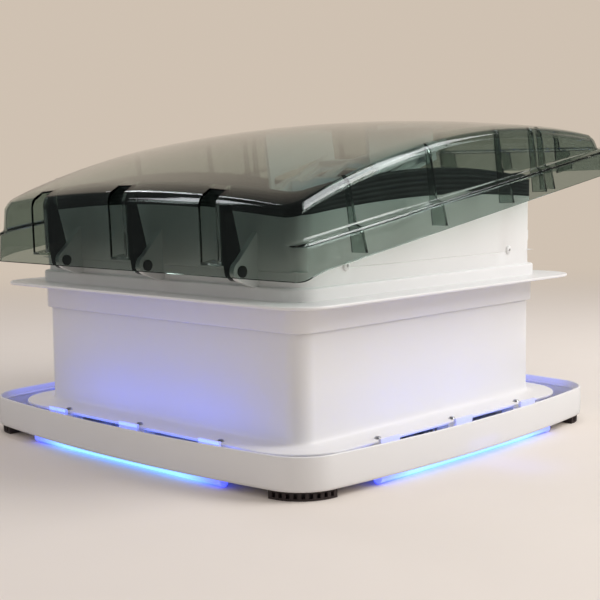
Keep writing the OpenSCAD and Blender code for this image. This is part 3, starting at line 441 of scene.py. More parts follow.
def tinted(tree, spot, share, first, last):
    """Output of a mix from one colour to another by a share."""
    node = add(tree, "ShaderNodeMix", spot)
    node.data_type = "RGBA"
    node.inputs["A"].default_value = (*first, 1)
    node.inputs["B"].default_value = (*last, 1)
    tree.links.new(share, node.inputs["Factor"])
    return node.outputs["Result"]


def either(tree, spot, share, first, last):
    """Output of a mix from one shader to another by a share."""
    node = add(tree, "ShaderNodeMixShader", spot)
    for k, socket in enumerate((share, first, last)):
        tree.links.new(socket, node.inputs[k])
    return node.outputs[0]


def effect(name, inputs, outputs):
    """An empty shader node group with named float inputs and outputs, as (group, its input, its output)."""
    group = bpy.data.node_groups.new(name, "ShaderNodeTree")
    for key, value in inputs.items():
        socket = group.interface.new_socket(key, in_out="INPUT", socket_type="NodeSocketFloat")
        socket.default_value = value
    for key in outputs:
        group.interface.new_socket(key, in_out="OUTPUT", socket_type="NodeSocketFloat")
    return group, add(group, "NodeGroupInput", (-5, 0)), add(group, "NodeGroupOutput", (4, 0))


def moulded_skin():
    """Surface of a moulding: fine peel for bump, a slow drift of gloss and a slow drift of tone.

    Height is fine noise, Gloss is broad noise brought to the range from Smooth to Rough, and Tone is a
    broader noise from 0 to 1.
    """
    if "moulded skin" in bpy.data.node_groups:
        return bpy.data.node_groups["moulded skin"]
    group, given, out = effect(
        "moulded skin", {"Grain": 900.0, "Smooth": 0.3, "Rough": 0.45}, ("Height", "Gloss", "Tone")
    )
    place = add(group, "ShaderNodeTexCoord", (-5, -2))
    fine = add(group, "ShaderNodeTexNoise", (-2, 1), Detail=3.0, Roughness=0.6)
    broad = add(group, "ShaderNodeTexNoise", (-2, -1), Scale=26.0, Detail=4.0, Roughness=0.55)
    slow = add(group, "ShaderNodeTexNoise", (-2, -3), Scale=5.0, Detail=2.0)
    spread = add(group, "ShaderNodeMapRange", (1, -1), From_Min=0.35, From_Max=0.65)
    link = group.links.new
    for noise in (fine, broad, slow):
        link(place.outputs["Object"], noise.inputs["Vector"])
    link(given.outputs["Grain"], fine.inputs["Scale"])
    link(broad.outputs["Fac"], spread.inputs["Value"])
    link(given.outputs["Smooth"], spread.inputs["To Min"])
    link(given.outputs["Rough"], spread.inputs["To Max"])
    link(fine.outputs["Fac"], out.inputs["Height"])
    link(spread.outputs["Result"], out.inputs["Gloss"])
    link(slow.outputs["Fac"], out.inputs["Tone"])
    return group


def finish(name, base, grain, smooth, rough, bump, drift, **values):
    """A material on the moulded skin: base colour with a slow drift of tone, gloss and fine bump."""
    material = bpy.data.materials.new(name)
    material.use_nodes = True
    tree = material.node_tree
    shader = tree.nodes["Principled BSDF"]
    for key, value in values.items():
        shader.inputs[key.replace("_", " ")].default_value = value
    skin = add(tree, "ShaderNodeGroup", (-4, 0))
    skin.node_tree = moulded_skin()
    for key, value in {"Grain": grain, "Smooth": smooth, "Rough": rough}.items():
        skin.inputs[key].default_value = value
    base = np.array(base)
    dark, light = base * (1 - drift), np.minimum(base * (1 + drift), 1)
    relief = add(tree, "ShaderNodeBump", (-2, -1), Strength=bump, Distance=0.0004)
    link = tree.links.new
    link(tinted(tree, (-2, 1), skin.outputs["Tone"], dark, light), shader.inputs["Base Color"])
    link(skin.outputs["Gloss"], shader.inputs["Roughness"])
    link(skin.outputs["Height"], relief.inputs["Height"])
    link(relief.outputs["Normal"], shader.inputs["Normal"])
    return material


def finish_named(name):
    """The finish of that name, made on first use."""
    if name in bpy.data.materials:
        return bpy.data.materials[name]
    tint, *skin = RECIPES[name]
    material = finish(name, getattr(colours(), tint), *skin, **EXTRAS.get(name, {}))
    if name == "smoked acrylic":
        lets_light(material, colours().smoke)
    return material


def lets_light(material, tint):
    """Lets tinted light fall through a clear material: shadow rays keep a power of the tint at each face."""
    tree = material.node_tree
    out, shader = tree.nodes["Material Output"], tree.nodes["Principled BSDF"]
    path = add(tree, "ShaderNodeLightPath", (1, 3))
    clear = add(tree, "ShaderNodeBsdfTransparent", (1, -3), Color=(*np.power(tint, SHADOW_POWER), 1))
    out.location = (1000, 0)
    mixed = either(tree, (3, 0), path.outputs["Is Shadow Ray"], shader.outputs[0], clear.outputs[0])
    tree.links.new(mixed, out.inputs["Surface"])


def lit_plastic(name, strength):
    """Frosted plastic lit from inside: it glows most in the middle of a strip and least at its ends.

    The glow goes by the smaller of the distances from the middle along X and along Y: it is full within a
    share of the strip's half length, and falls by a smooth step up to the half length.
    """
    material, c, half = finish_named(name), colours(), sizes().strip_half
    tree = material.node_tree
    shader = tree.nodes["Principled BSDF"]
    place = add(tree, "ShaderNodeTexCoord", (-8, -4))
    split = add(tree, "ShaderNodeSeparateXYZ", (-7, -4))
    fall = add(tree, "ShaderNodeMapRange", (-4, -4), From_Min=half, From_Max=FULL_GLOW * half)
    fall.interpolation_type = "SMOOTHSTEP"
    link = tree.links.new
    link(place.outputs["Object"], split.inputs["Vector"])
    away = [maths(tree, (-6, -3 - k), "ABSOLUTE", split.outputs[k]) for k in (0, 1)]
    link(maths(tree, (-5, -4), "MINIMUM", *away), fall.inputs["Value"])
    glow = tinted(tree, (-2, -4), fall.outputs["Result"], c.lamp_end, c.lamp)
    link(glow, shader.inputs["Emission Color"])
    shader.inputs["Emission Strength"].default_value = strength
    return material


# Pieces


def upstand_edge(x, y):
    """Height of the upstand's crowned edge: a sphere that passes through its height at mid side."""
    s = sizes()
    r2 = s.upstand_crown**2
    rise = np.sqrt(r2 - x**2 - (y - s.upstand_crown_y) ** 2)
    return s.upstand_top + rise - math.sqrt(r2 - s.upstand_half**2)


def crown(x, y):
    """Height of the level lid's crown: it falls as a square both ways, and once more along the hinge wall."""
    f = lid_form()
    near = np.maximum(0, 1 - (y + f.hinge_y) / f.dip_run)
    along, across = ((y - f.crown_y) / f.half_y) ** 2, (x / f.half_x) ** 2
    return f.top - f.fall_y * along - f.fall_x * across - f.dip * near**2


def seal_edge(x, y):
    """Height of the seal's top: the closed lid's underside, lowered by the seal's gap."""
    f, s = lid_form(), sizes()
    return crown(x, y) - f.thick - s.seal_gap + (y - HINGE[1]) * math.tan(math.radians(f.seat_deg))


class VENT_OT_roof_frame(bpy.types.Operator):
    """Flange, neck, collar, crowned upstand and hinge ears, with soft edges"""

    bl_idname = "vent.roof_frame"
    bl_label = "Roof frame"

    def execute(self, context):
        s = sizes()
        e, t = s.edge, s.wall
        inner = s.upstand_half - t - s.flange_half
        flange = softened([(inner, 0, 0), (0, 0, e), (0, s.flange_thick, e), (inner, s.flange_thick, 0)])
        low, tuck = height("roof_frame", 0), 1 * MM
        neck = softened([(-t, low, e), (0, low, e), (0, tuck, 0), (-t, tuck, 0)])
        rise, step = s.collar_half - s.upstand_half, 0.3 * MM
        top, lap = s.collar_top, s.collar_top + 2 * MM
        collar = softened(
            [(-t, 0, 0), (rise, 0, 0), (rise, top, 2 * e), (step, top, 0.5 * e), (step, lap, 0), (-t, lap, 0)]
        )
        parts = [
            grid_part(ring_sweep(flange, round_square(s.flange_half, s.flange_radius, 18))),
            grid_part(ring_sweep(neck, round_square(s.neck_half, s.neck_radius, 12))),
            grid_part(ring_sweep(collar, round_square(s.upstand_half, s.upstand_radius))),
            self.upstand(s),
            *[self.ear(s, s.ear_shift + k * s.ear_pitch) for k in (-1, 0, 1)],
        ]
        white = finish_named("satin white")
        put("roof_frame_moulding", parts, white, "frame", ["roof_frame"])
        return {"FINISHED"}

    @staticmethod
    def upstand(s):
        """The upstand's wall: its top follows the crowned edge, and a seam joins the screws of each side."""
        e, t, top, width = s.edge, s.wall, s.upstand_top, s.seal_width
        rows = softened(
            [(-t, 0, 0), (0, 0, 0), (0, s.seam_z - s.seam, 0), (-s.seam, s.seam_z, 0),
             (0, s.seam_z + s.seam, 0), (0, top, e), (-width, top, e), (-width, top - 4 * MM, 0),
             (-t, top - 7 * MM, 0)]
        )
        grid = ring_sweep(rows, round_square(s.upstand_half, s.upstand_radius, side=24))
        crowned = rows[:, 1] > 0.5 * top
        grid[crowned, :, 2] += upstand_edge(grid[crowned, :, 0], grid[crowned, :, 1]) - top
        in_seam = (np.abs(rows[:, 1] - s.seam_z) < 0.5 * s.seam) & (rows[:, 0] < 0) & (rows[:, 0] > -t)
        seam_points = grid[in_seam]
        x, y = seam_points[..., 0], seam_points[..., 1]
        low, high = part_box("side_screws")
        shut = ((y < low[1]) | (y > high[1])) & (np.abs(x) > 0.9 * s.upstand_half)
        seam_points[..., 0] = np.where(shut, np.sign(x) * s.upstand_half, x)
        grid[in_seam] = seam_points
        return grid_part(grid)

    @staticmethod
    def ear(s, x):
        """A hinge ear: a gusset from the upstand to a round nose about the hinge axis."""
        a = np.linspace(math.radians(115), math.radians(255), 15)
        nose = np.column_stack([HINGE[1] + s.ear_nose * np.cos(a), HINGE[2] + s.ear_nose * np.sin(a)])
        root, foot = 1 * MM - s.upstand_half, s.collar_top - 2 * MM
        outline = [[(root, s.ear_top)], nose, [(2 * MM - s.collar_half, foot), (root, foot)]]
        return prism(np.concatenate(outline), x - s.ear_thick, x)


class VENT_OT_seal(bpy.types.Operator):
    """Rubber seal on the upstand: ribbed flanks between the crowned edge and the lid's underside"""

    bl_idname = "vent.seal"
    bl_label = "Seal"

    def execute(self, context):
        s = sizes()
        w, ribs, swell = s.seal_width, 5, 0.5 * MM
        t = np.linspace(0, 1, 6 * ribs + 1)
        bulge = swell * np.abs(np.sin(math.pi * ribs * t)) - swell
        outer = np.column_stack([bulge, t])
        over, bend = 1.06, 0.3 * w
        top = softened([(0, 1, 0), (-0.1 * w, over, bend), (-0.9 * w, over, bend), (-w, 1, 0)], 4)
        inner = np.column_stack([-w - bulge[::-1] * 0.5, t[::-1]])
        rows = np.concatenate([outer[:-1], top, inner[1:]])
        grid = ring_sweep(rows, round_square(s.upstand_half, s.upstand_radius, side=24))
        x, y = grid[..., 0], grid[..., 1]
        low, high = upstand_edge(x, y), seal_edge(x, y)
        grid[..., 2] = low + rows[:, 1][:, None] * (high - low)
        rubber = finish_named("seal rubber")
        put("seal_strip", [grid_part(grid)], rubber, "frame", ["frame_seal"], 60)
        return {"FINISHED"}


class VENT_OT_screws(bpy.types.Operator):
    """Screws in the upstand's sides: domed heads with a round socket"""

    bl_idname = "vent.screws"
    bl_label = "Side screws"

    def execute(self, context):
        s = sizes()
        low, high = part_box("side_screws")
        r, z = 0.5 * (high[2] - low[2]), 0.5 * (low[2] + high[2])
        head, shank, socket, hair = 1.15 * r, 0.5 * r, 0.4 * r, 0.01 * MM
        top, floor = 2.2 * MM, -0.4 * MM
        rows = np.array(
            [(hair, -s.wall), (shank, -s.wall), (shank, 0), (head, 0), (head, 0.6 * MM),
             (0.93 * head, 1.3 * MM), (0.75 * head, 1.9 * MM), (0.5 * head, top), (socket, top),
             (socket, floor), (hair, floor)]
        )
        places = [(y, side) for y in (low[1] + r, high[1] - r) for side in (-1, 1)]
        parts = [self.screw(rows, s.upstand_half, y, z, side) for y, side in places]
        white = finish_named("satin white")
        put("side_screw_heads", parts, white, "frame", ["side_screws"])
        return {"FINISHED"}

    @staticmethod
    def screw(rows, wall, y, z, side):
        """Rows of (radius, distance from the wall) turned about a line along X at (y, z), on one side."""
        a = side * np.linspace(0, 2 * math.pi, SCREW_POINTS + 1)[:-1]
        x = np.broadcast_to(side * (wall + rows[:, 1:]), (len(rows), SCREW_POINTS))
        return grid_part(np.stack([x, y + rows[:, :1] * np.cos(a), z + rows[:, :1] * np.sin(a)], -1))


class VENT_OT_throat(bpy.types.Operator):
    """Throat duct with its filleted foot, plate and inner ledge"""

    bl_idname = "vent.throat"
    bl_label = "Throat duct"

    def execute(self, context):
        s = sizes()
        e, t = s.edge, s.throat_wall
        low, high = height("throat_duct", 0), height("throat_duct", 1)
        plate_top, foot = low + 3 * MM, 9 * MM
        shelf = height("fan_shroud", 0) + 26 * MM
        under, ledge = shelf - 3 * MM, -t - 6 * MM
        wall = softened(
            [(-t, low, 0), (foot, low, 0), (foot, plate_top, 0.5 * MM),
             (7 * MM, plate_top + 0.2 * MM, 1 * MM), (0, plate_top + 1.5 * MM, 7 * MM), (0, high, 0.5 * e),
             (-t, high, 0.5 * e), (-t, shelf, 0.3 * e), (ledge, shelf, e), (ledge, under, e),
             (-t, under, 0.3 * e)]
        )
        inner = s.throat_half - t - s.plate_half
        plate = softened([(inner, low, 0), (0, low, e), (0, plate_top, e), (inner, plate_top, 0)])
        parts = [
            grid_part(ring_sweep(wall, round_square(s.throat_half, s.throat_radius))),
            grid_part(ring_sweep(plate, round_square(s.plate_half, s.plate_radius, 20))),
        ]
        put("throat_moulding", parts, finish_named("satin white"), "frame", ["throat_duct"])
        return {"FINISHED"}


class VENT_OT_trim_ring(bpy.types.Operator):
    """Trim ring: a soft-edged wall, a bead inside its lip and the tray that carries the light strips"""

    bl_idname = "vent.trim_ring"
    bl_label = "Trim ring"

    def execute(self, context):
        s = sizes()
        e = s.edge
        low, high = height("trim_ring", 0), height("trim_ring", 1)
        tray, inner, wall, bead = low + 3 * MM, -s.tray_width, -3.4 * MM, -5 * MM
        profile = softened(
            [(inner, low, 0.5 * e), (-0.6 * MM, low, 3 * e), (0, 0.5 * (low + high), 6 * MM),
             (-0.5 * MM, high, 1.1 * e), (-3 * MM, high, 1.1 * e), (wall, high - 6 * MM, 0.4 * e),
             (bead, high - 6.6 * MM, 0.4 * e), (bead, high - 8 * MM, 0.4 * e),
             (wall, high - 8.6 * MM, 0.4 * e), (wall, tray, 2 * e), (inner, tray, 0.5 * e)]
        )
        part = grid_part(ring_sweep(profile, bowed_square(s.ring_half, s.ring_radius, s.ring_bow)))
        white = finish_named("satin white")
        put("trim_ring_moulding", [part], white, "frame", ["trim_ring"])
        return {"FINISHED"}


class VENT_OT_lid(bpy.types.Operator):
    """Smoked lid: a shell with a ledge, a bevelled rim, hinge pockets and ribs"""

    bl_idname = "vent.lid"
    bl_label = "Smoked lid"

    def execute(self, context):
        f, s = lid_form(), sizes()
        right = [s.ear_shift + k * s.ear_pitch - f.pocket_side for k in (-1, 0, 1)]
        a = math.radians(f.open_deg)
        turn = np.array([[1, 0, 0], [0, math.cos(a), -math.sin(a)], [0, math.sin(a), math.cos(a)]])
        level = [self.shell(f, right), *self.ribs(f)]
        parts = [((v - HINGE) @ turn.T + HINGE, faces) for v, faces in level]
        put("lid_shell", parts, finish_named("smoked acrylic"), "lid", ["lid_dome"], 50)
        return {"FINISHED"}

    @staticmethod
    def foot(f, y):
        """Height of the skirt's foot: within each hinge corner it eases down to the hinge wall's foot."""
        run = f.radius + 10 * MM
        s = np.clip((run - y - f.hinge_y) / run, 0, 1)
        return f.skirt_z + (f.hinge_z - f.skirt_z) * s * s * (3 - 2 * s)

    @staticmethod
    def columns(f, right):
        """Places of the columns along the hinge wall: even steps and all edges of the pockets."""
        half = f.skirt_half - f.radius
        even = np.linspace(-half, half, HINGE_POINTS)
        edges = np.add.outer(right, [-f.pocket - f.thick, -f.pocket, 0, f.thick])
        keep = np.abs(even[:, None] - edges.ravel()[None]).min(1) > 2 * MM
        return np.sort(np.concatenate([even[keep], edges.ravel()])), edges

    @staticmethod
    def outline(f, in_x, in_h, in_f, off, columns):
        """One row round the lid, anticlockwise from the hinge wall, inset at sides, hinge wall and far wall.

        Columns near the middle keep their places, so the pockets stay straight, and the others spread
        evenly up to the corners.
        """
        hx, y0, y1 = f.skirt_half - in_x - off, in_h + off - f.hinge_y, f.far_y - in_f - off
        r = f.radius + f.grow * in_x - off
        middle, last = f.straight, columns[-1]
        columns = np.interp(columns, [-last, -middle, middle, last], [r - hx, -middle, middle, hx - r])
        a = np.linspace(0, math.pi / 2, CORNER_POINTS + 2)[1:-1]
        up = np.linspace(y0 + r, y1 - r, SIDE_POINTS)
        far = np.column_stack([np.linspace(hx - r, r - hx, FAR_POINTS), np.full(FAR_POINTS, y1)])
        near = np.column_stack([columns, np.full(len(columns), y0)])
        low = np.column_stack([hx - r + r * np.sin(a), y0 + r - r * np.cos(a)])
        high = np.column_stack([hx - r + r * np.cos(a), y1 - r + r * np.sin(a)])
        side = np.concatenate([low, np.column_stack([np.full(SIDE_POINTS, hx), up]), high])
        return np.concatenate([near, side, far, side[::-1] * np.array([-1, 1])])

    @staticmethod
    def leaned(f, z):
        """How far the hinge wall has leaned back at a height."""
        return f.lean * (z - f.hinge_z)

    @classmethod
    def surface(cls, f, off, columns, floor):
        """Rows of the lid at a depth off below its outer face, and the row numbers of pocket floor and back.

        Five rows of corners (foot, both edges of the ledge, both edges of the rim) and the row behind the
        pockets set the wall. The corners between them are rounded, and the crown's rows shrink towards its
        highest point.
        """
        top = cls.leaned(f, f.ledge_z + 30 * MM)
        low, high = f.ledge_z - 1.2 * MM, f.ledge_z + 1.1 * MM
        back = f.pocket_deep + cls.leaned(f, 100 * MM)
        # Insets of sides, hinge wall and far wall, and a height, or above the ledge a drop from the crown
        steps = [
            (0, 0, 0, None),
            (f.skirt_in, cls.leaned(f, low), f.skirt_in, low),
            (f.ledge_in, cls.leaned(f, high), f.far_in, high),
            (f.rim_in, top + 0.3 * MM, f.far_in + 1.6 * MM, f.rim_drop),
            (f.bevel_in, top + 4.2 * MM, f.far_in + 4.6 * MM, f.bevel_drop),
            (back + 4 * MM, back, f.far_in + 12 * MM, 0),
        ]
        wall = []
        for k, (side, hinge, far, level) in enumerate(steps):
            flat = cls.outline(f, side, hinge, far, off, columns)
            x, y = flat[:, 0], flat[:, 1]
            z = cls.foot(f, y) if k == 0 else np.full(len(x), level) if k < 3 else crown(x, y) - level
            wall.append(np.column_stack([flat, z - (off if k else 0)]))
        wall = np.array(wall)
        bends = rounded(wall[:-2], wall[1:-1], wall[2:], f.edge, 0.45, BEND_POINTS)
        share = (floor - f.hinge_z) / (low - off - f.hinge_z)
        rows = [wall[0], wall[0] + share * (wall[1] - wall[0]), *bends.reshape(-1, *wall.shape[1:]), wall[-1]]
        centre = np.array([0, f.crown_y])
        for t in np.linspace(0.95, 0.04, CROWN_ROWS):
            flat = centre + t * (wall[-1, :, :2] - centre)
            rows.append(np.column_stack([flat, crown(flat[:, 0], flat[:, 1]) - off]))
        return np.array(rows), 1, len(bends) * BEND_POINTS + 2

    @classmethod
    def skin(cls, f, right, off):
        """One face of the lid, with a recess for each pocket: two sides, a back and a floor."""
        columns, edges = cls.columns(f, right)
        floor = f.pocket_foot - off
        grid, foot_row, back_row = cls.surface(f, off, columns, floor)
        rows, cols = grid.shape[:2]
        faces = grid_faces(rows, cols, close_rows=False)
        r, c = faces[:, 0] // cols, faces[:, 0] % cols
        cut = np.zeros(len(faces), bool)
        extra, walls = [[0, f.crown_y, f.top - off]], []
        for edge in edges:
            left, end = np.searchsorted(columns, edge[[1, 2]] if off == 0 else edge[[0, 3]])
            cut |= (r >= foot_row) & (r < back_row) & (c >= left) & (c < end)
            e = rows * cols + len(extra)
            back = f.pocket_deep + cls.leaned(f, floor) + off - f.hinge_y
            extra += [[columns[left], back, floor], [columns[end], back, floor]]
            up = np.arange(foot_row, back_row + 1) * cols
            across = np.arange(left, end + 1)
            walls += [
                [up[0] + left, e, *(up[:0:-1] + left)], [e + 1, up[0] + end, *(up[1:] + end)],
                [e, e + 1, *(up[-1] + across[::-1])], [*(up[0] + across), e + 1, e],
            ]
        last = (rows - 1) * cols + np.arange(cols)
        cap = np.column_stack([last, np.roll(last, -1), np.full(cols, rows * cols)])
        return np.concatenate([grid.reshape(-1, 3), extra]), [*faces[~cut], *cap, *walls], cols

    @classmethod
    def shell(cls, f, right):
        """Outer and inner faces of the lid, joined round the foot."""
        outer, faces, cols = cls.skin(f, right, 0)
        inner, hidden, _ = cls.skin(f, right, f.thick)
        n = len(outer)
        ring = np.arange(cols)
        after = np.roll(ring, -1)
        rim = np.column_stack([after, ring, ring + n, after + n])
        turned = [np.asarray(face)[::-1] + n for face in hidden]
        return np.concatenate([outer, inner]), [*faces, *turned, *rim]

    @classmethod
    def ribs(cls, f):
        """Ribs behind both sides and behind the far wall, which follow the middle of the wall's thickness."""
        columns, _ = cls.columns(f, [0])
        middle, _, _ = cls.surface(f, 0.5 * f.thick, columns, f.pocket_foot)
        side = len(columns) + CORNER_POINTS
        far = side + SIDE_POINTS + CORNER_POINTS
        side_wall = middle[:RIB_ROWS, side : side + SIDE_POINTS, [1, 0, 2]]
        far_wall = middle[:RIB_ROWS, far : far + FAR_POINTS]
        ribs = []
        for y in SIDE_RIBS:
            verts, faces = cls.rib(f, side_wall, y * MM, f.skirt_half - f.rib_in)
            verts = verts[:, [1, 0, 2]]
            ribs += [(verts, [face[::-1] for face in faces]), (verts * np.array([-1, 1, 1]), faces)]
        inner = f.far_y - f.far_in - f.far_rib_in
        return ribs + [cls.rib(f, far_wall, x * MM, inner) for x in FAR_RIBS]

    @staticmethod
    def rib(f, wall, place, inner):
        """A rib across the first axis at a place on a wall, given as rows of points.

        Its outline goes up along the wall from just above the foot and back down a straight inner edge.
        """
        line = wall[:, np.argmin(np.abs(wall[1, :, 0] - place)), 1:]
        low = line[0, 1] + 3 * MM
        kept = line[(line[:, 0] > inner) & (line[:, 1] > low)]
        first = np.array([np.interp(low, line[:2, 1], line[:2, 0]), low])
        outline = np.concatenate([[first], kept, [[inner, kept[-1, 1]], [inner, low]]])
        return prism(outline, place - 0.5 * f.rib_thick, place + 0.5 * f.rib_thick)


def dress(node, material):
    """Gives a CAD node one material in all its slots."""
    mesh = NODES[node].data
    mesh.materials.clear()
    mesh.materials.append(material)


class VENT_OT_light_strips(bpy.types.Operator):
    """Lit diffusers under the ring and the boards above them"""

    bl_idname = "vent.light_strips"
    bl_label = "Light strips"

    def execute(self, context):
        lights = context.scene.vent_lights
        dress("led_diffusers", lit_plastic("lit diffuser", lights.strip))
        dress("led_strips", lit_plastic("lit board", lights.board))
        return {"FINISHED"}


class VENT_OT_finishes(bpy.types.Operator):
    """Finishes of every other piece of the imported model"""

    bl_idname = "vent.finishes"
    bl_label = "Finishes"

    def execute(self, context):
        by_slot = {
            "white_plastic": "satin white", "smoked_acrylic": "smoked acrylic", "black_rubber": "seal rubber",
            "pin_steel": "black steel", "steel": "plated steel", "dark_plastic": "comb plastic",
            "grey_mesh": "screen mesh", "green_board": "board mask", "motor_case": "motor paint",
            "cream_nylon": "gear nylon", "button_plastic": "soft key",
        }
        for part in frame["record"]["subparts"]:
            if part["material_slot"] in by_slot:
                dress(part["node"], finish_named(by_slot[part["material_slot"]]))
        dress("lid_lugs", finish_named("thick acrylic"))
        return {"FINISHED"}


# Studio


def look(way, roll=0.0):
    """Rotation that turns a lamp's or camera's own -Z along a direction, with its Y up, and rolls it."""
    return (Vector(way).to_track_quat("-Z", "Y") @ Quaternion((0, 0, 1), roll)).to_euler()


class VENT_OT_stage(bpy.types.Operator):
    """Pale floor, seamless background, soft lamps and the camera"""

    bl_idname = "vent.stage"
    bl_label = "Studio"

    def execute(self, context):
        scene = context.scene
        scene.view_settings.view_transform = "Standard"
        self.floor(scene)
        self.world(scene)
        self.lamps(scene)
        self.camera(scene)
        return {"FINISHED"}

    @staticmethod
    def seen(tree, place, start, end):
        """Two masks: 1 for camera, glossy and transmission rays, and 1 for what shows the backdrop to them.

        The backdrop is all round for camera rays. For the others it is behind the vent only, where a place,
        measured along the way the camera faces, goes from start to end.
        """
        path = add(tree, "ShaderNodeLightPath", (-8, 3)).outputs
        along = add(tree, "ShaderNodeVectorMath", (-7, 5))
        along.operation = "DOT_PRODUCT"
        along.inputs[1].default_value = BACKWARDS
        behind = add(tree, "ShaderNodeMapRange", (-6, 5), From_Min=start, From_Max=end)
        tree.links.new(place, along.inputs[0])
        tree.links.new(along.outputs["Value"], behind.inputs["Value"])
        bent = maths(tree, (-5, 3), "MAXIMUM", path["Is Glossy Ray"], path["Is Transmission Ray"])
        shown = maths(tree, (-4, 3), "MAXIMUM", path["Is Camera Ray"], bent)
        return shown, maths(tree, (-3, 3), "MAXIMUM", path["Is Camera Ray"], behind.outputs["Result"])

    @classmethod
    def floor(cls, scene):
        """A round floor that keeps the vent's shadow and turns into the background far away.

        Mirrored or seen through glass, it shows only behind the vent, and the dark room takes the rest.
        """
        a = np.linspace(0, 2 * math.pi, FLOOR_POINTS + 1)[:-1]
        r = np.array(FLOOR_RINGS)[:, None]
        level = np.full((len(r), FLOOR_POINTS), CAD_BOX[0][2])
        points = np.stack([r * np.cos(a), r * np.sin(a), level], -1).reshape(-1, 3)
        faces = grid_faces(len(r), FLOOR_POINTS, close_rows=False)[:, ::-1]
        mesh = bpy.data.meshes.new("floor")
        mesh.from_pydata(points.tolist(), [], faces.tolist())
        floor = bpy.data.objects.new("floor", mesh)
        scene.collection.objects.link(floor)
        material, c = finish_named("studio floor"), colours()
        mesh.materials.append(material)
        tree = material.node_tree
        shader, out = tree.nodes["Principled BSDF"], tree.nodes["Material Output"]
        backdrop = add(tree, "ShaderNodeEmission", (1, 2), Color=(*c.backdrop, 1))
        dark = add(tree, "ShaderNodeEmission", (3, 3), Color=(*c.room, 1))
        place = add(tree, "ShaderNodeTexCoord", (-6, 5)).outputs["Object"]
        reach = add(tree, "ShaderNodeVectorMath", (-5, 5))
        reach.operation = "LENGTH"
        fade = add(tree, "ShaderNodeMapRange", (-4, 5), From_Min=FLOOR_FADE[0], From_Max=FLOOR_FADE[1])
        fade.interpolation_type = "SMOOTHSTEP"
        link = tree.links.new
        link(place, reach.inputs[0])
        link(reach.outputs["Value"], fade.inputs["Value"])
        shown, there = cls.seen(tree, place, *FLOOR_BEHIND)
        far = maths(tree, (-2, 4), "MULTIPLY", fade.outputs["Result"], shown)
        share = maths(tree, (-1, 4), "MULTIPLY", far, there)
        pale = either(tree, (2, 1), share, shader.outputs[0], backdrop.outputs[0])
        unseen = maths(tree, (2, 4), "SUBTRACT", shown, there)
        unseen.node.use_clamp = True
        link(either(tree, (4, 1), unseen, pale, dark.outputs[0]), out.inputs["Surface"])

    @classmethod
    def world(cls, scene):
        """Backdrop and dark room for what sees them directly, and a soft light for everything else."""
        world = scene.world or bpy.data.worlds.new("studio")
        scene.world = world
        world.use_nodes = True
        tree, c = world.node_tree, colours()
        tree.nodes.clear()
        shown = add(tree, "ShaderNodeBackground", (0, 1), Strength=1.0)
        soft = add(tree, "ShaderNodeBackground", (0, -1), Color=(*c.fill, 1), Strength=scene.vent_lights.fill)
        out = add(tree, "ShaderNodeOutputWorld", (4, 0))
        way = add(tree, "ShaderNodeTexCoord", (-9, 5))
        ray, there = cls.seen(tree, way.outputs["Generated"], *WORLD_BEHIND)
        tree.links.new(tinted(tree, (-1, 2), there, c.room, c.backdrop), shown.inputs["Color"])
        mixed = either(tree, (2, 0), ray, soft.outputs[0], shown.outputs[0])
        tree.links.new(mixed, out.inputs["Surface"])

    @staticmethod
    def lamp(scene, name, spot, way, power, size, tint):
        """A rectangular lamp at spot that shines along a way; only the strong ones are mirrored."""
        data = bpy.data.lights.new(name, "AREA")
        data.shape = "RECTANGLE"
        data.size, data.size_y = size
        data.energy, data.color = power, tint
        lamp = bpy.data.objects.new(name, data)
        lamp.location = spot
        lamp.rotation_euler = look(way)
        lamp.visible_camera = False
        lamp.visible_glossy = lamp.visible_transmission = power > MIRRORED_WATTS
        scene.collection.objects.link(lamp)

    @classmethod
    def lamps(cls, scene):
        """A key lamp behind on the right, panels for the rim's gleam, and the strips' blue light."""
        lights, s, c = scene.vent_lights, sizes(), colours()
        for name, light, share, spot, aim, size, tint in PANELS:
            cls.lamp(scene, name, spot, np.subtract(aim, spot), share * getattr(lights, light), size, tint)
        strips, half = half_width("led_strips") - 5 * MM, s.plate_half
        tray, plate = height("led_strips", 1) + 2 * MM, height("throat_duct", 0) + 8 * MM
        deep, up = height("fascia_panel", 0) + 18 * MM, np.array([0, 0, 1])
        foot = s.throat_half - half - 14 * MM
        for k, share in enumerate(SIDE_SHARES):
            out = np.array([*(spin(k) @ (1, 0)), 0])
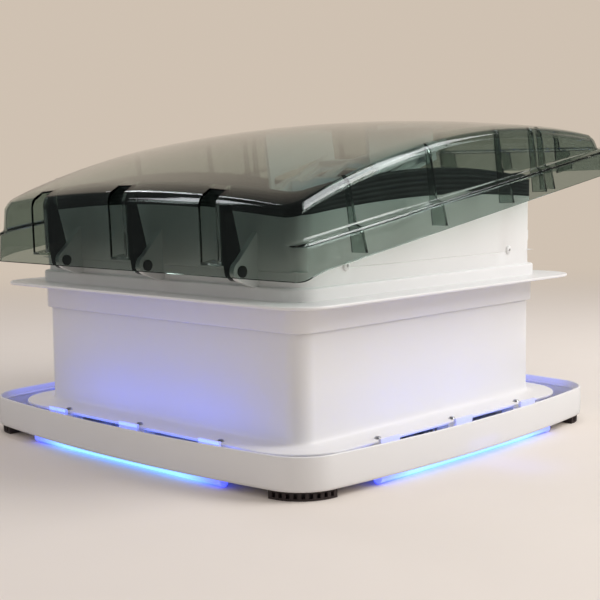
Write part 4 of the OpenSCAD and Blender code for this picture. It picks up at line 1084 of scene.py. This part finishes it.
            # Name, distance from the middle, level, way, power and size
            for name, reach, level, way, power, size in (
                ("trough", strips, tray, 0.05 * out + 0.03 * up, lights.trough, (0.28, 0.008)),
                ("ring", half + 2 * MM, plate + 3 * MM, out, share * lights.ring, (0.42, 0.008)),
                ("cavity", half - 45 * MM, deep, -up, lights.cavity, (0.3, 0.05)),
                ("glow", half + 14 * MM, plate, foot * out + 50 * MM * up, share * lights.glow, (0.3, 0.012)),
            ):
                cls.lamp(scene, f"{name} lamp {k}", reach * out + level * up, way, power, size, c.spill)
        cls.lamp(scene, "throat lamp", (0, 0, -0.02), up, lights.throat, (0.2, 0.2), c.leak)

    @staticmethod
    def camera(scene):
        """Camera at the photograph's place: low, from the hinge side, with the right face turned to it."""
        data = bpy.data.cameras.new("camera")
        data.lens, data.sensor_width = CAMERA_LENS, CAMERA_SENSOR
        data.shift_x, data.shift_y = CAMERA_SHIFT
        data.clip_end = 100
        camera = bpy.data.objects.new("camera", data)
        camera.location = CAMERA_PLACE
        camera.rotation_euler = look(CAMERA_WAY, math.radians(CAMERA_ROLL))
        scene.collection.objects.link(camera)
        scene.camera = camera


class VENT_PT_panel(bpy.types.Panel):
    """Steps that dress the roof vent"""

    bl_idname = "VENT_PT_panel"
    bl_label = "Roof vent"
    bl_space_type = "VIEW_3D"
    bl_region_type = "UI"
    bl_category = "Roof vent"

    def draw(self, context):
        for step in STEPS:
            self.layout.operator(step.bl_idname)


GROUPS = {
    "vent_sizes": VentSizes, "vent_lid": VentLid, "vent_colours": VentColours, "vent_lights": VentLights,
}
STEPS = (
    VENT_OT_stage, VENT_OT_finishes, VENT_OT_roof_frame, VENT_OT_seal, VENT_OT_screws, VENT_OT_throat,
    VENT_OT_trim_ring, VENT_OT_lid, VENT_OT_light_strips,
)


def register():
    """Adds the classes and the scene's property groups."""
    for cls in (*GROUPS.values(), *STEPS, VENT_PT_panel):
        bpy.utils.register_class(cls)
    for name, group in GROUPS.items():
        setattr(bpy.types.Scene, name, bpy.props.PointerProperty(type=group))


def unregister():
    """Takes them away again."""
    for name in GROUPS:
        delattr(bpy.types.Scene, name)
    for cls in reversed((*GROUPS.values(), *STEPS, VENT_PT_panel)):
        bpy.utils.unregister_class(cls)


def main():
    """Registers the add-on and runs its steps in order."""
    register()
    for step in STEPS:
        area, name = step.bl_idname.split(".")
        getattr(getattr(bpy.ops, area), name)()


if __name__ == "__main__":
    main()
